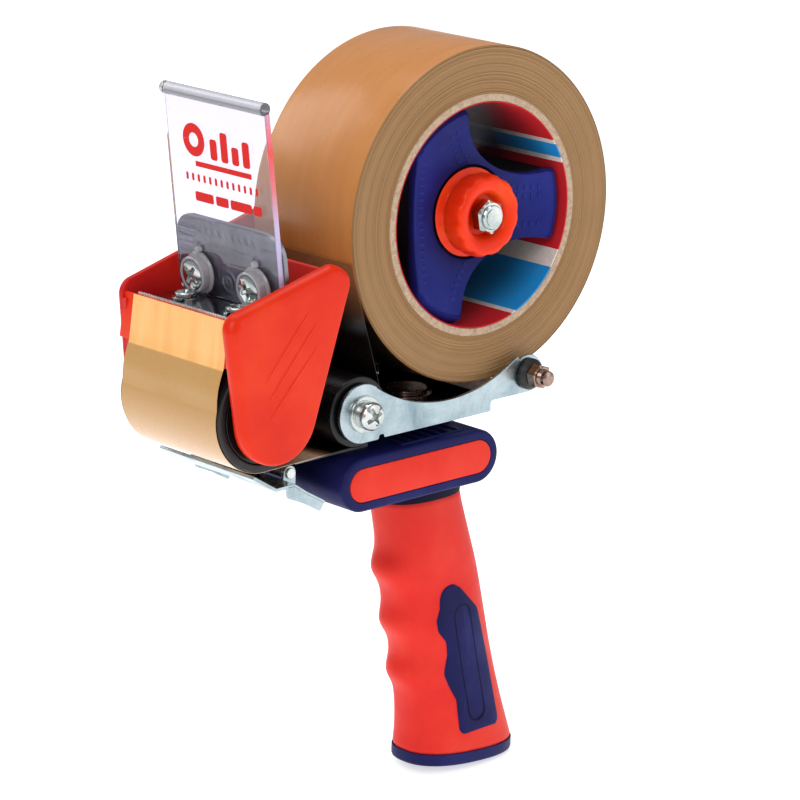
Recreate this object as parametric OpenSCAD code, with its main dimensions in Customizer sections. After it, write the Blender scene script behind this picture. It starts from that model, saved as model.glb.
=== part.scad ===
// Hand-held packing tape dispenser: a steel side frame carries the tape roll on
// a braked hub, two rollers lead the tape to a guarded blade, and a pistol grip
// hangs from a moulded collar under the frame.
// +X points to the rear, +Z up, -Y to the open side. The origin is the roll's
// axis at the middle of the tape's width.

/* [Tape roll] */
// Outer diameter of the tape roll
roll_d = 114; // [100:1:114]
// Width of the tape
tape_w = 50; // [44:1:50]
// Inside diameter of the cardboard core
core_id = 76; // [75.9:0.1:76.2]
// Wall thickness of the cardboard core
core_wall = 3; // [2:0.5:5]
// Thickness of the free web of tape
web_t = 0.3; // [0.2:0.05:0.4]

/* [Frame] */
// Thickness of the sheet steel
sheet_t = 1.5; // [1:0.1:1.5]
// Width over the outside of the two steel sides
frame_w = 60; // [60:0.5:61]
// Height of the underside of the base plate
base_z = -66.7; // [-67:0.1:-66.5]
// Radius of the guide roller
guide_r = 12; // [11:0.5:12]
// Radius of the front roller
front_r = 18.8; // [18:0.2:18.8]

/* [Guard] */
// Thickness of the near cheek of the guard
cheek_t = 4.7; // [4:0.1:5]
// Thickness of the far cheek of the guard
far_cheek_t = 2.5; // [2:0.1:3]
// Number of blade teeth
teeth = 40; // [20:1:40]

/* [Flap] */
// Height of the clear flap along its own plane
flap_h = 70.7; // [50:0.1:72]
// Half width of the clear flap
flap_half_w = 26.5; // [24:0.5:26.5]
// Forward lean of the flap in degrees
flap_lean = 4.9; // [0:0.1:7]

/* [Handle] */
// Half height of the collar
collar_r = 9.2; // [8:0.1:9.2]
// Lowest point of the handle
foot_z = -197.3; // [-205:0.1:-195]
// Height of each finger bump
bump_h = 3.4; // [0:0.1:4]

/* [Brake] */
// Largest radius of the brake knob's rim
knob_rim_r = 15; // [13.5:0.1:15]
// Number of scallops round the knob
scallops = 12; // [8:1:16]

/* [Hidden] */
$fn = 96;
hull_fn = 32;

roll_r = roll_d / 2;
core_r = core_id / 2;
half_tape = tape_w / 2;
out_y = frame_w / 2;
in_y = out_y - sheet_t;
base_top = base_z + sheet_t;
fit = 0.05;
near = [-57, -57];
guide = near;
front = [-95.3, -51.2];
rear = [16, -56.5];
axis = [0, 0];
arc_c = [-19.5, -3.8];
arc_r = 55.3;
axle_r = 4;
guard_holes = [[-90, -30], [-70, -42]];
guard_hole_r = 2.1;
frame_hole = [-38, 9];

// Lip of the guard: the outer face of the front wall that the tape sticks to
lip_top = [-108.1, -18];
lip_low = [-110.5, -33];
lip_t = 2.5;
blade_z = -20.3;
blade_t = 0.8;
foot_t = 1.5;
plate_top = blade_z - foot_t;
plate_x = [-105, -84];
blade_hole = [-96, 13.5];
flap_foot = [-85.7, plate_top];
flap_hole = [10.6, 14.7];
m4_hole_r = 2.1;

// Retainer under the front roller, and its hinge pin
pin = [-79.5, -75.2];
pin_r = 1.25;
retainer_w = 50;

// Collar, an obround bar along Y
collar_x = [-57.2, -6.9];
collar_z = -81.5;
collar_top = collar_z + collar_r;
collar_low = collar_z - collar_r;
panel_inset = 3.35;
panel_t = 1.2;
handle_x = -13;
handle_hole_r = 4.1;
base_x = 8;
base_front = -16.4;
base_tilt = 3.7;
slot_x = [-35.6, 4.3, 2.2];
grip_top = -100.2;
grip_low = -192.8;

// Brake and spindle, measured along Y
hub_y = [-22, 20];
hub_shoulder = -11;
knob_y = -18;
spindle_r = 3;
tube_r = 6;

// Grip sections: height, centre in X, half width in X, half width in Y
GRIP = [[-100, -9.6, 16.7, 12], [-105, -8.6, 16.8, 12], [-115, -6.5, 17.4, 12.3],
    [-128, -4.1, 18.5, 12.8], [-145, -0.8, 18.6, 13], [-160, 1.9, 18.8, 13.2],
    [-176, 4.7, 19.8, 13.8], [-186, 6.4, 21.4, 14.5], [-192.8, 7.2, 23, 15]];
GRIP_POWER = 2.4;
BUMPS = [-125, -145.2, -164];
bump_w = 5.2;

// ---- Helpers --------------------------------------------------------------

// Points of an arc about c from angle a0 to a1
function arc(c, r, a0, a1, n = 24) =
    [for (i = [0:n]) c + r * [cos(a0 + (a1 - a0) * i / n),
                              sin(a0 + (a1 - a0) * i / n)]];

function lerp(a, b, t) = a + (b - a) * t;

// Value of column k of the grip table at height z
function at(z, k, i = 0) =
    i >= len(GRIP) - 2 || z >= GRIP[i + 1][0]
    ? lerp(GRIP[i][k], GRIP[i + 1][k],
           (z - GRIP[i][0]) / (GRIP[i + 1][0] - GRIP[i][0]))
    : at(z, k, i + 1);
function add(v, i = 0) = i < len(v) ? v[i] + add(v, i + 1) : 0;
function bump(z) = bump_h * add([for (c = BUMPS) exp(-pow((z - c) / bump_w, 2))]);

// An (x, z) outline given thickness from y0 to y1
module slab(y0, y1) {
    translate([0, y1, 0])
        rotate([90, 0, 0])
            linear_extrude(y1 - y0) children();
}

// Round bar along Y about the point p = [x, z]
module bar(p, r, y0, y1) {
    translate([p[0], y0, p[1]])
        rotate([-90, 0, 0])
            cylinder(r = r, h = y1 - y0);
}

module ring(p, ro, ri, y0, y1) {
    difference() {
        bar(p, ro, y0, y1);
        bar(p, ri, y0 - 1, y1 + 1);
    }
}

module hex_bar(p, flats, y0, y1) {
    translate([p[0], y0, p[1]])
        rotate([-90, 0, 0])
            cylinder(r = flats / 2 / cos(30), h = y1 - y0, $fn = 6);
}

module disc(p, r) {
    translate(p) circle(r = r);
}

// Pan head with a cross recess, axis +Z, seated on z = 0
module pan_head(r, h) {
    difference() {
        intersection() {
            cylinder(r = r, h = h);
            translate([0, 0, h - 2.2 * r]) sphere(r = 2.2 * r);
        }
        for (a = [0, 90])
            rotate([0, 0, a])
                translate([-r * 0.55, -0.45, h - 1.4])
                    cube([r * 1.1, 0.9, 2]);
    }
}

module screw(r, head_r, head_h, length) {
    pan_head(head_r, head_h);
    translate([0, 0, -length]) cylinder(r = r, h = length + 0.2);
}

module washer(ro, ri, h) {
    difference() {
        cylinder(r = ro, h = h);
        translate([0, 0, -1]) cylinder(r = ri, h = h + 2);
    }
}

module hex_nut(flats, r, h) {
    difference() {
        cylinder(r = flats / 2 / cos(30), h = h, $fn = 6);
        translate([0, 0, -1]) cylinder(r = r, h = h + 2);
    }
}

// Turns +Z onto -Y, for what is screwed in from the near side
module from_near(p, y) {
    translate([p[0], y, p[1]]) rotate([90, 0, 0]) children();
}

// Turns +Z onto +Y, for what is screwed in from the far side
module from_far(p, y) {
    translate([p[0], y, p[1]]) rotate([-90, 0, 0]) children();
}

// Coil of round wire about the Z axis, as one closed mesh
module coil(r, wire_r, pitch, turns, steps = 20, sides = 8) {
    n = steps * turns;
    pts = [for (i = [0:n], j = [0:sides - 1])
        let (a = 360 * i / steps, b = 360 * j / sides, q = r + wire_r * cos(b))
        [q * cos(a), q * sin(a), pitch * i / steps + wire_r * sin(b)]];
    walls = [for (i = [0:n - 1], j = [0:sides - 1])
        let (k = (j + 1) % sides)
        [i * sides + j, i * sides + k, (i + 1) * sides + k, (i + 1) * sides + j]];
    first = [[for (j = [sides - 1:-1:0]) j]];
    last = [[for (j = [0:sides - 1]) n * sides + j]];
    polyhedron(pts, concat(first, walls, last));
}

// ---- Frame ----------------------------------------------------------------

module near_outline() {
    difference() {
        union() {
            disc(near, 10);
            disc(rear, 6.5);
            polygon([near + [0, -10], near + [6, 8.2], [12.3, -51], [16, -50],
                     [16, -63], [-1, -63], [-1, base_z], [-48.5, base_z],
                     [-48.5, base_z - 0.3]]);
        }
        disc(arc_c, arc_r);
        disc([-49.6, base_z], 1.1);
    }
}

module far_outline() {
    hull() {
        translate(axis) circle(r = 18, $fn = hull_fn);
        translate(guide) circle(r = 10, $fn = hull_fn);
        translate([-6, base_z + 5]) circle(r = 5, $fn = hull_fn);
        translate([34, -46]) circle(r = 6, $fn = hull_fn);
    }
    hull() {
        translate(guide) circle(r = 10, $fn = hull_fn);
        translate(front) circle(r = 9, $fn = hull_fn);
        translate([-90, -30]) circle(r = 6, $fn = hull_fn);
    }
}

module side_frame() {
    color([0.74, 0.8, 0.82]) difference() {
        union() {
            slab(-out_y, -in_y) near_outline();
            slab(in_y, out_y) far_outline();
            translate([-46.3, -out_y, base_z])
                cube([45.3, 2 * out_y, sheet_t]);
        }
        bar(guide, 2.6, -out_y - 1, out_y + 1);
        bar(rear, 2.6, -out_y - 1, -in_y + 1);
        bar(axis, spindle_r + fit, in_y - 1, out_y + 1);
        bar(front, axle_r, in_y - 1, out_y + 1);
        for (p = guard_holes) bar(p, guard_hole_r, in_y - 1, out_y + 1);
        for (s = [-1, 1])
            translate([frame_hole[0], s * frame_hole[1], base_z - 1])
                cylinder(r = 2.6, h = 4);
        translate([handle_x, 0, base_z - 1]) cylinder(r = handle_hole_r, h = 4);
    }
}

bracket_near = -out_y + 1;
bracket_far = in_y;

module leg_outline() {
    difference() {
        union() {
            disc(front, 8.6);
            polygon([[plate_x[0], plate_top], [plate_x[1], plate_top],
                     [plate_x[1], -26], front + [8.6, 0], front + [-8.6, 0],
                     [plate_x[0], -26]]);
        }
        disc(front, axle_r);
    }
}

module front_bracket() {
    color([0.72, 0.76, 0.78]) difference() {
        union() {
            slab(bracket_near, bracket_near + sheet_t) leg_outline();
            slab(bracket_far - sheet_t, bracket_far) leg_outline();
            translate([plate_x[0], bracket_near, plate_top - sheet_t])
                cube([plate_x[1] - plate_x[0], bracket_far - bracket_near, sheet_t]);
        }
        bar(guard_holes[0], guard_hole_r, bracket_far - 3, bracket_far + 1);
        at_blade_holes(plate_top - 4) cylinder(r = m4_hole_r, h = 6);
    }
}

// ---- Guard, blade and flap ------------------------------------------------

cheek_in = -out_y + 0.7;
cheek_out = cheek_in - cheek_t;
far_in = out_y + 0.1;
far_out = far_in + far_cheek_t;
far_rim = 1.8;
lip_edge = 1.1;

// Corner of the near cheek: a disc with a rounded outer rim
module pillow_corner(p, r, q) {
    translate([p[0], cheek_in, p[1]])
        rotate([90, 0, 0]) {
            cylinder(r = r, h = cheek_t - q, $fn = hull_fn);
            cylinder(r = r - q, h = cheek_t, $fn = hull_fn);
            translate([0, 0, cheek_t - q])
                cylinder(r = r - q * 0.3, h = q * 0.7, $fn = hull_fn);
        }
}

module far_corner(p, r) {
    translate([p[0], far_in, p[1]])
        rotate([-90, 0, 0])
            cylinder(r = r, h = far_cheek_t, $fn = hull_fn);
}

module guard() {
    color([0.93, 0.26, 0.15]) {
        difference() {
            union() {
                hull() {
                    pillow_corner([-109.1, -19.2], 5.5, 3.2);
                    pillow_corner([-71.4, -10.8], 6.4, 3.2);
                    pillow_corner([-95.2, -50.7], 15.6, 3.2);
                }
                for (i = [0:2])
                    translate([-101 + 0.6 * i, cheek_out - 0.15, -38 - 6.5 * i])
                        rotate([0, -48.5, 0])
                            cube([28.5, 0.4, 0.6]);
            }
            bar(front, 9.2, cheek_in - 0.9, cheek_in + 1);
        }
        difference() {
            hull() {
                far_corner([-103.9, -19.3], 5.5);
                far_corner([-47, -3.4], 5.5);
                far_corner([-64, -44], 5);
                far_corner([-95.3, -50.7], 12.2);
            }
            for (p = guard_holes) bar(p, guard_hole_r, far_in - 1, far_out + 1);
            bar(front, 4.6, far_in - 1, far_out + 1);
        }
        slab(far_in - far_rim, far_in + 0.5)
            polygon([[-109.3, -20], [-106.6, -20], [-105.2, -50], [-107.4, -50]]);
        slab(cheek_in - 0.5, far_in + 0.5)
            polygon([lip_top, lip_low, lip_low + [lip_t, -0.3],
                     lip_top + [lip_edge, 0]]);
        slab(cheek_in - 0.5, far_in + 0.5)
            polygon([[-70, -6.5], [-75.6, -26], [-73.6, -26.5], [-68, -7.5]]);
    }
}

module guard_screws() {
    color("silver") for (p = guard_holes)
        from_far(p, far_out) screw(2, 3.8, 2.4, far_out - in_y + 0.5);
}

// Flat blade whose front edge turns up behind the lip, with a row of teeth
module blade() {
    pitch = 2 * half_tape / teeth;
    edge_x = lip_top[0] + lip_edge + 0.1;
    tooth_h = 0.9;
    root_z = lip_top[1] - 0.2;
    color([0.8, 0.82, 0.84]) {
        difference() {
            translate([edge_x, -half_tape, blade_z])
                cube([-88.4 - edge_x, 2 * half_tape, blade_t]);
            at_blade_holes(blade_z - 1) cylinder(r = m4_hole_r, h = 3);
        }
        translate([edge_x, 0, 0])
            rotate([90, 0, 90])
                linear_extrude(blade_t) polygon(concat(
                    [[-half_tape, blade_z], [half_tape, blade_z]],
                    [for (i = [0:2 * teeth])
                        [half_tape - i * pitch / 2, root_z + (i % 2) * tooth_h]]));
    }
}

module at_blade_holes(z) {
    for (s = [-1, 1])
        translate([blade_hole[0], s * blade_hole[1], z]) children();
}

washer_t = 0.8;

module blade_washers() {
    color("silver") at_blade_holes(blade_z + blade_t)
        washer(4.5, m4_hole_r, washer_t);
}

module blade_screws() {
    color("gainsboro") at_blade_holes(blade_z + blade_t + washer_t)
        screw(2, 3.8, 2, 8.2);
}

module blade_nuts() {
    color("silver") at_blade_holes(plate_top - sheet_t - 3.2)
        hex_nut(7, 2, 3.2);
}

// Local frame of the flap: +Z up its own plane, +X to the rear
module leaning() {
    translate([flap_foot[0], 0, flap_foot[1]])
        rotate([0, -flap_lean, 0]) children();
}

clamp_h = 28.8;
clamp_r = 8.5;
clamp_half_w = 27.3;

module flap_clamp() {
    color([0.78, 0.8, 0.82]) {
        leaning() difference() {
            rotate([90, 0, 90]) linear_extrude(sheet_t) {
                translate([-clamp_half_w, 0])
                    square([2 * clamp_half_w, clamp_h - clamp_r]);
                translate([-clamp_half_w + clamp_r, 0])
                    square([2 * (clamp_half_w - clamp_r), clamp_h]);
                for (s = [-1, 1])
                    translate([s * (clamp_half_w - clamp_r), clamp_h - clamp_r])
                        circle(r = clamp_r);
            }
            for (s = [-1, 1])
                translate([-1, s * flap_hole[1], flap_hole[0]])
                    rotate([0, 90, 0]) cylinder(r = m4_hole_r, h = 4);
        }
        difference() {
            translate([-101, -21, plate_top])
                cube([flap_foot[0] + sheet_t + 101, 42, foot_t]);
            at_blade_holes(plate_top - 1) cylinder(r = m4_hole_r, h = 4);
        }
    }
}

flap_t = 2;
flap_gap = 2.6;
boss_t = [1, 2];

module flap() {
    color([0.92, 0.9, 0.92, 0.5]) leaning() difference() {
        union() {
            translate([-flap_t, -flap_half_w, flap_gap])
                cube([flap_t, 2 * flap_half_w, flap_h - flap_gap - 1]);
            translate([-flap_t / 2 - 0.4, -flap_half_w, flap_h])
                rotate([-90, 0, 0])
                    cylinder(r = 2.15, h = 2 * flap_half_w);
        }
        for (s = [-1, 1])
            translate([-4, s * flap_hole[1], flap_hole[0]])
                rotate([0, 90, 0]) cylinder(r = m4_hole_r, h = 6);
    }
}

// +Z of the child points forward, out of the flap's front face
module at_flap_holes(x) {
    leaning() for (s = [-1, 1])
        translate([x, s * flap_hole[1], flap_hole[0]])
            rotate([0, -90, 0]) children();
}

module flap_washers() {
    color("gainsboro") at_flap_holes(-flap_t) {
        washer(6.2, m4_hole_r, boss_t[0]);
        translate([0, 0, boss_t[0]]) washer(5.2, m4_hole_r, boss_t[1]);
    }
}

module flap_screws() {
    color("gainsboro") at_flap_holes(-flap_t - boss_t[0] - boss_t[1])
        screw(2, 4.4, 2.2, 10.2);
}

module flap_nuts() {
    color("silver") at_flap_holes(sheet_t + 3.2)
        hex_nut(7, 2, 3.2);
}

// ---- Rollers --------------------------------------------------------------

front_half = 26.4;
sleeve_t = 3;

module front_roller() {
    color([0.1, 0.1, 0.11]) {
        ring(front, front_r - sleeve_t, front_r - 5.5, -front_half, front_half);
        ring(front, 7.5, axle_r + fit, -front_half, front_half);
        slab(-front_half + 3, front_half - 3) difference() {
            disc(front, front_r - 5.5);
            disc(front, 7.5);
            for (a = [0:60:300])
                translate(front) rotate(a + 30)
                    translate([10.3, 0]) circle(r = 2);
        }
    }
}

module front_sleeve() {
    color([0.07, 0.07, 0.08])
        ring(front, front_r, front_r - sleeve_t, -front_half, front_half);
}

module front_axle() {
    color("silver") {
        bar(front, axle_r, bracket_near, out_y);
        bar(front, axle_r + 0.5, out_y, out_y + 1);
        bar(front, axle_r + 0.5, bracket_near - 0.6, bracket_near);
    }
}

guide_half = 27.4;

module guide_roller() {
    color([0.1, 0.1, 0.11])
        ring(guide, guide_r, axle_r + fit, -guide_half, guide_half);
}

module guide_axle() {
    color("silver") difference() {
        bar(guide, axle_r, -in_y, in_y);
        bar(guide, 2.5, -in_y - 1, -in_y + 14);
        bar(guide, 2.5, in_y - 14, in_y + 1);
    }
}

guide_washer_t = 1.2;
lock_t = 1.4;

module guide_washers() {
    color("silver") {
        from_near(guide, -out_y) washer(6.2, 2.6, guide_washer_t);
        from_far(guide, out_y) washer(6.2, 2.6, guide_washer_t);
    }
}

module lock_washer() {
    difference() {
        washer(4.6, 2.6, lock_t);
        rotate([0, 0, 35]) translate([0, -0.4, -1]) cube([6, 0.8, 4]);
    }
}

module lock_washers() {
    color("gainsboro") {
        from_near(guide, -out_y - guide_washer_t) lock_washer();
        from_far(guide, out_y + guide_washer_t) lock_washer();
    }
}

module guide_screws() {
    seat = out_y + guide_washer_t + lock_t;
    color("gainsboro") {
        from_near(guide, -seat) screw(2.5, 5, 3.4, 14);
        from_far(guide, seat) screw(2.5, 5, 3.4, 14);
    }
}

// ---- Hub, roll and brake --------------------------------------------------

// Outline of the three-armed hub, drawn in by the inset d all round
module hub_outline(d = 0) {
    difference() {
        circle(r = core_r - 0.1 - d);
        for (a = [56.75, -62.75])
            rotate(a) translate([50.9, 0]) circle(r = 32.9 + d);
        translate([-60, -50]) square([34 + d, 100]);
    }
}

module hub() {
    dish_r = 104.9;
    color([0.17, 0.18, 0.45]) {
        difference() {
            slab(hub_y[0], hub_y[1]) hub_outline();
            slab(-14, hub_y[1] + 1) hub_outline(2.5);
            translate([0, -17 - dish_r, 0]) sphere(r = dish_r);
            bar(axis, 16, hub_y[0] - 1, -16.5);
            bar(axis, 12.5, -17, hub_shoulder);
        }
        ring(axis, 14.5, 12.5, -16.5, hub_shoulder + 2.5);
        difference() {
            bar(axis, 14.5, hub_shoulder, hub_shoulder + 2.5);
            bar(axis, tube_r + fit, hub_shoulder - 1, hub_shoulder + 4);
        }
        ring(axis, 9, tube_r + fit, hub_shoulder + 2.4, hub_y[1]);
    }
}

module tape_core() {
    color([0.78, 0.69, 0.58])
        ring(axis, core_r + core_wall, core_r, -half_tape, half_tape);
}

module tape_roll() {
    color([0.75, 0.54, 0.37])
        ring(axis, roll_r, core_r + core_wall, -half_tape, half_tape);
}

// Free tape: leaves the roll, passes behind the guide roller, under the front
// roller and up the lip. Each side of the web follows the same tangents.
web_gap = 0.35;
web_c = [roll_r + web_gap + web_t / 2, guide_r + 0.2 + web_t / 2,
         front_r + 0.2 + web_t / 2];

function span(a, b) = norm(b - a);
function bearing(a, b) = atan2(b[1] - a[1], b[0] - a[0]);

leave_a = bearing([0, 0], guide)
    - acos((web_c[0] + web_c[1]) / span([0, 0], guide));
under_a = bearing(guide, front)
    + acos((web_c[1] - web_c[2]) / span(guide, front));
lip_start = lip_low + [-web_t / 2 - 0.05, 0];
lip_a = bearing(front, lip_start) + acos(web_c[2] / span(front, lip_start));

// One side of the web, at s half thicknesses from its middle
function web_side(s) = concat(
    arc([0, 0], web_c[0] + s * web_t / 2, 180 + 7, 360 + leave_a, 8),
    arc(guide, web_c[1] - s * web_t / 2, 180 + leave_a, under_a - 360, 30),
    arc(front, web_c[2] - s * web_t / 2, under_a, lip_a, 36),
    [lip_start + [s * web_t / 2, 0],
     lip_start + lip_top - lip_low + [s * web_t / 2, -0.4]]);
function back(v) = [for (i = [len(v) - 1:-1:0]) v[i]];

module tape_web() {
    color([0.8, 0.6, 0.4])
        slab(-half_tape, half_tape)
            polygon(concat(web_side(1), back(web_side(-1))));
}

module spindle_tube() {
    color("silver") difference() {
        union() {
            bar(axis, tube_r, -13, in_y);
            bar(axis, 11, 21.2, in_y);
        }
        bar(axis, spindle_r + fit, -14, in_y + 1);
    }
}

module friction_washer() {
    color([0.35, 0.33, 0.3])
        ring(axis, 10.6, tube_r + 0.1, hub_y[1] + 0.2, 21.2);
}

module spindle_bolt() {
    color("silver") {
        bar(axis, spindle_r, -31.5, out_y + 1.2);
        hex_bar(axis, 10, out_y + 1.2, out_y + 5.2);
    }
}

module spindle_washer() {
    color("silver")
        ring(axis, 7, spindle_r + fit, out_y, out_y + 1.2);
}

module spindle_nut() {
    color("gainsboro") difference() {
        hex_bar(axis, 10, -30.2, -25);
        bar(axis, spindle_r, -32, -24);
    }
}

module brake_washer() {
    color("silver")
        ring(axis, 11, tube_r + 0.1, hub_shoulder - 1.3, hub_shoulder - 0.3);
}

module brake_spring() {
    color("gray")
        from_near(axis, hub_shoulder - 2.05) coil(8.6, 0.65, 1.7, 2.0);
}

module thrust_washer() {
    color("silver")
        ring(axis, 11, spindle_r + fit, knob_y + 0.1, knob_y + 0.9);
}

module brake_knob() {
    grip_r = knob_rim_r - 1.2;
    end_y = -28.5;
    color([0.95, 0.2, 0.1]) difference() {
        union() {
            bar(axis, knob_rim_r, knob_y - 1.6, knob_y);
            bar(axis, 11.8, knob_y - 2.6, knob_y - 1.6);
            slab(end_y, knob_y - 2.6) difference() {
                circle(r = grip_r);
                for (i = [0:scallops - 1])
                    rotate(360 * i / scallops)
                        translate([grip_r + 2.8, 0]) circle(r = 3.4);
            }
        }
        bar(axis, spindle_r + fit, end_y - 1, knob_y + 1);
        bar(axis, 8.4, end_y - 1, -23.4);
        translate([0, end_y - 10, 0]) rotate([-90, 0, 0])
            cylinder(r1 = 15.4, r2 = 8.4, h = 13);
    }
}

// ---- Rear bolt ------------------------------------------------------------

module rear_bolt() {
    color("silver") {
        bar(rear, 2.5, -39.5, -in_y);
        bar(rear, 4.4, -in_y, -in_y + 2);
    }
}

module rear_bumper() {
    color([0.08, 0.08, 0.08]) from_near(rear, -out_y)
        difference() {
            union() {
                cylinder(r = 5.4, h = 2.2);
                translate([0, 0, 2.2]) cylinder(r1 = 5.4, r2 = 4.2, h = 1);
            }
            translate([0, 0, -1]) cylinder(r = 2.6, h = 6);
        }
}

module rear_nut() {
    color("gainsboro") from_near(rear, -out_y - 3.2) hex_nut(8, 2.5, 4);
}

// ---- Tape retainer --------------------------------------------------------

retainer_t = 1.2;

// Bent strip through the points p, with the thickness t
module strip(p, t) {
    for (i = [0:len(p) - 2])
        let (d = p[i + 1] - p[i], n = [-d[1], d[0]] / norm(d) * t / 2)
            polygon([p[i] - n, p[i + 1] - n, p[i + 1] + n, p[i] + n]);
    for (q = p) translate(q) circle(r = t / 2);
}

RETAINER = [[-99.3, -71.6], [-90, -77.6], [-82.5, -77.4], [-77.6, -80.9],
            [-69.8, -85.6]];

ear_y = 18.3;
ear_r = 2.6;

module retainer_plate() {
    half = retainer_w / 2;
    color([0.76, 0.8, 0.82]) difference() {
        union() {
            slab(-half, half) strip(RETAINER, retainer_t);
            for (s = [-1, 1]) {
                slab(s * (half - 0.7) - 0.7, s * (half - 0.7) + 0.7)
                    polygon([[-85.5, -77.4], [-82.5, -77.4], [-77.6, -80.9],
                             [-69.8, -85.6], [-71.8, -88.4], [-78.5, -84.5],
                             [-85, -81.5]]);
                slab(s * ear_y - 0.7, s * ear_y + 0.7) {
                    disc(pin, ear_r);
                    polygon([pin + [-ear_r, 0], pin + [ear_r, 0], [-77.2, -81],
                             [-82.6, -77.6]]);
                }
            }
        }
        bar(pin, pin_r, -half - 1, half + 1);
    }
}

module retainer_pin() {
    half = ear_y + 0.7;
    color("silver") {
        bar(pin, pin_r, -half, half);
        for (s = [-1, 1])
            bar(pin, pin_r + 0.6, s * (half + 0.4) - 0.4, s * (half + 0.4) + 0.4);
    }
}

knuckle_r = 2;
strip_t = 1.2;
bracket_hole = [-51, 12];

module retainer_bracket() {
    strip_top = collar_top + strip_t;
    color([0.72, 0.76, 0.78]) difference() {
        union() {
            translate([-78, -20, collar_top]) cube([31, 40, strip_t]);
            for (s = [-1, 1])
                slab(s * 12 - 5, s * 12 + 5) {
                    disc(pin, knuckle_r);
                    polygon([pin + [0.9, 0], pin + [2, 0],
                             [-77, strip_top - 0.3], [-78.4, strip_top - 0.3]]);
                }
        }
        bar(pin, pin_r + fit, -25, 25);
        for (s = [-1, 1])
            translate([bracket_hole[0], s * bracket_hole[1], collar_top - 1])
                cylinder(r = 1.8, h = 4);
        for (s = [-1, 1])
            translate([bracket_hole[0], s * bracket_hole[1], collar_top])
                cylinder(r1 = 1.8, r2 = 3.2, h = strip_t + 0.01);
    }
}

module bracket_screws() {
    color("gainsboro") for (s = [-1, 1])
        translate([bracket_hole[0], s * bracket_hole[1], collar_top]) difference() {
            union() {
                cylinder(r1 = 1.75, r2 = 3.15, h = strip_t);
                translate([0, 0, -9]) cylinder(r = 1.75, h = 9.1);
            }
            for (a = [0, 90])
                rotate([0, 0, a]) translate([-1.7, -0.35, 0.5]) cube([3.4, 0.7, 2]);
        }
}

module retainer_spring() {
    wire_r = 0.4;
    color("gray") {
        translate([pin[0], -4.2, pin[1]])
            rotate([-90, 0, 0]) coil(1.9, wire_r, 1.05, 8);
        translate([pin[0] + 1.6, -4.2, pin[1] + 0.8])
            rotate([0, 80.5, 0]) cylinder(r = wire_r, h = 9);
    }
}

// ---- Handle ---------------------------------------------------------------

module obround(x, z, r) {
    disc([x[0], z], r);
    disc([x[1], z], r);
    translate([x[0], z - r]) square([x[1] - x[0], 2 * r]);
}

module collar_body() {
    color([0.18, 0.19, 0.45]) difference() {
        union() {
            slab(-out_y, out_y) obround(collar_x, collar_z, collar_r);
            translate([-45.5, -13, collar_top - 1])
                cube([42.5, 26, base_z - collar_top + 1]);
        }
        for (s = [-1, 1])
            slab(s * out_y - panel_t, s * out_y + panel_t)
                obround(collar_x, collar_z, collar_r - panel_inset);
        for (i = [0:5])
            translate([slot_x[0] + slot_x[1] * i, -25.5, collar_top - 1.2])
                cube([slot_x[2], 10, 3]);
        for (s = [-1, 1])
            translate([frame_hole[0], s * frame_hole[1], -79])
                cylinder(r = 2.5, h = 20);
        for (s = [-1, 1])
            translate([bracket_hole[0], s * bracket_hole[1], collar_top - 9.5])
                cylinder(r = 1.75, h = 12);
        translate([handle_x, 0, collar_low - 1]) cylinder(r = handle_hole_r, h = 40);
    }
}

module collar_panels() {
    color([0.92, 0.28, 0.2]) for (s = [-1, 1])
        slab(s * (out_y - 0.55) - 0.65, s * (out_y - 0.55) + 0.65)
            obround(collar_x, collar_z, collar_r - panel_inset);
}

module frame_screws() {
    color("gainsboro") for (s = [-1, 1])
        translate([frame_hole[0], s * frame_hole[1], base_top])
            screw(2.5, 4.6, 2.8, 13);
}

module handle_washer() {
    color("silver") translate([handle_x, 0, base_top]) washer(9, handle_hole_r, 1.6);
}

module handle_bolt() {
    head_z = base_top + 1.6;
    color("silver") {
        translate([handle_x, 0, head_z]) cylinder(r = 7.2, h = 1.8);
        translate([handle_x, 0, -126]) cylinder(r = 4, h = head_z + 126.2);
    }
}

module handle_nut() {
    color("silver") translate([handle_x, 0, -125]) hex_nut(13, 4, 6);
}

spigot_r = 8.6;
spigot_low = -119;

module neck_ring() {
    color([0.18, 0.19, 0.45]) difference() {
        union() {
            translate([at(grip_top, 1), 0, grip_top])
                linear_extrude(collar_low - grip_top)
                    intersection() {
                        circle(r = 17.6);
                        square([40, 26], center = true);
                    }
            translate([handle_x, 0, spigot_low])
                cylinder(r = spigot_r, h = grip_top - spigot_low);
        }
        translate([handle_x, 0, spigot_low - 1]) cylinder(r = handle_hole_r, h = 40);
    }
}

// Turns the end of the handle about its front edge, rear side down
module tilted_base() {
    translate([base_front, 0, grip_low])
        rotate([0, base_tilt, 0])
            translate([-base_front, 0, -grip_low]) children();
}

// Share of the base's tilt at height z: none above the flare, all at the end
function tilt_at(z) = tan(base_tilt) * max(0, (-176 - z) / (-176 - grip_low));

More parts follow.
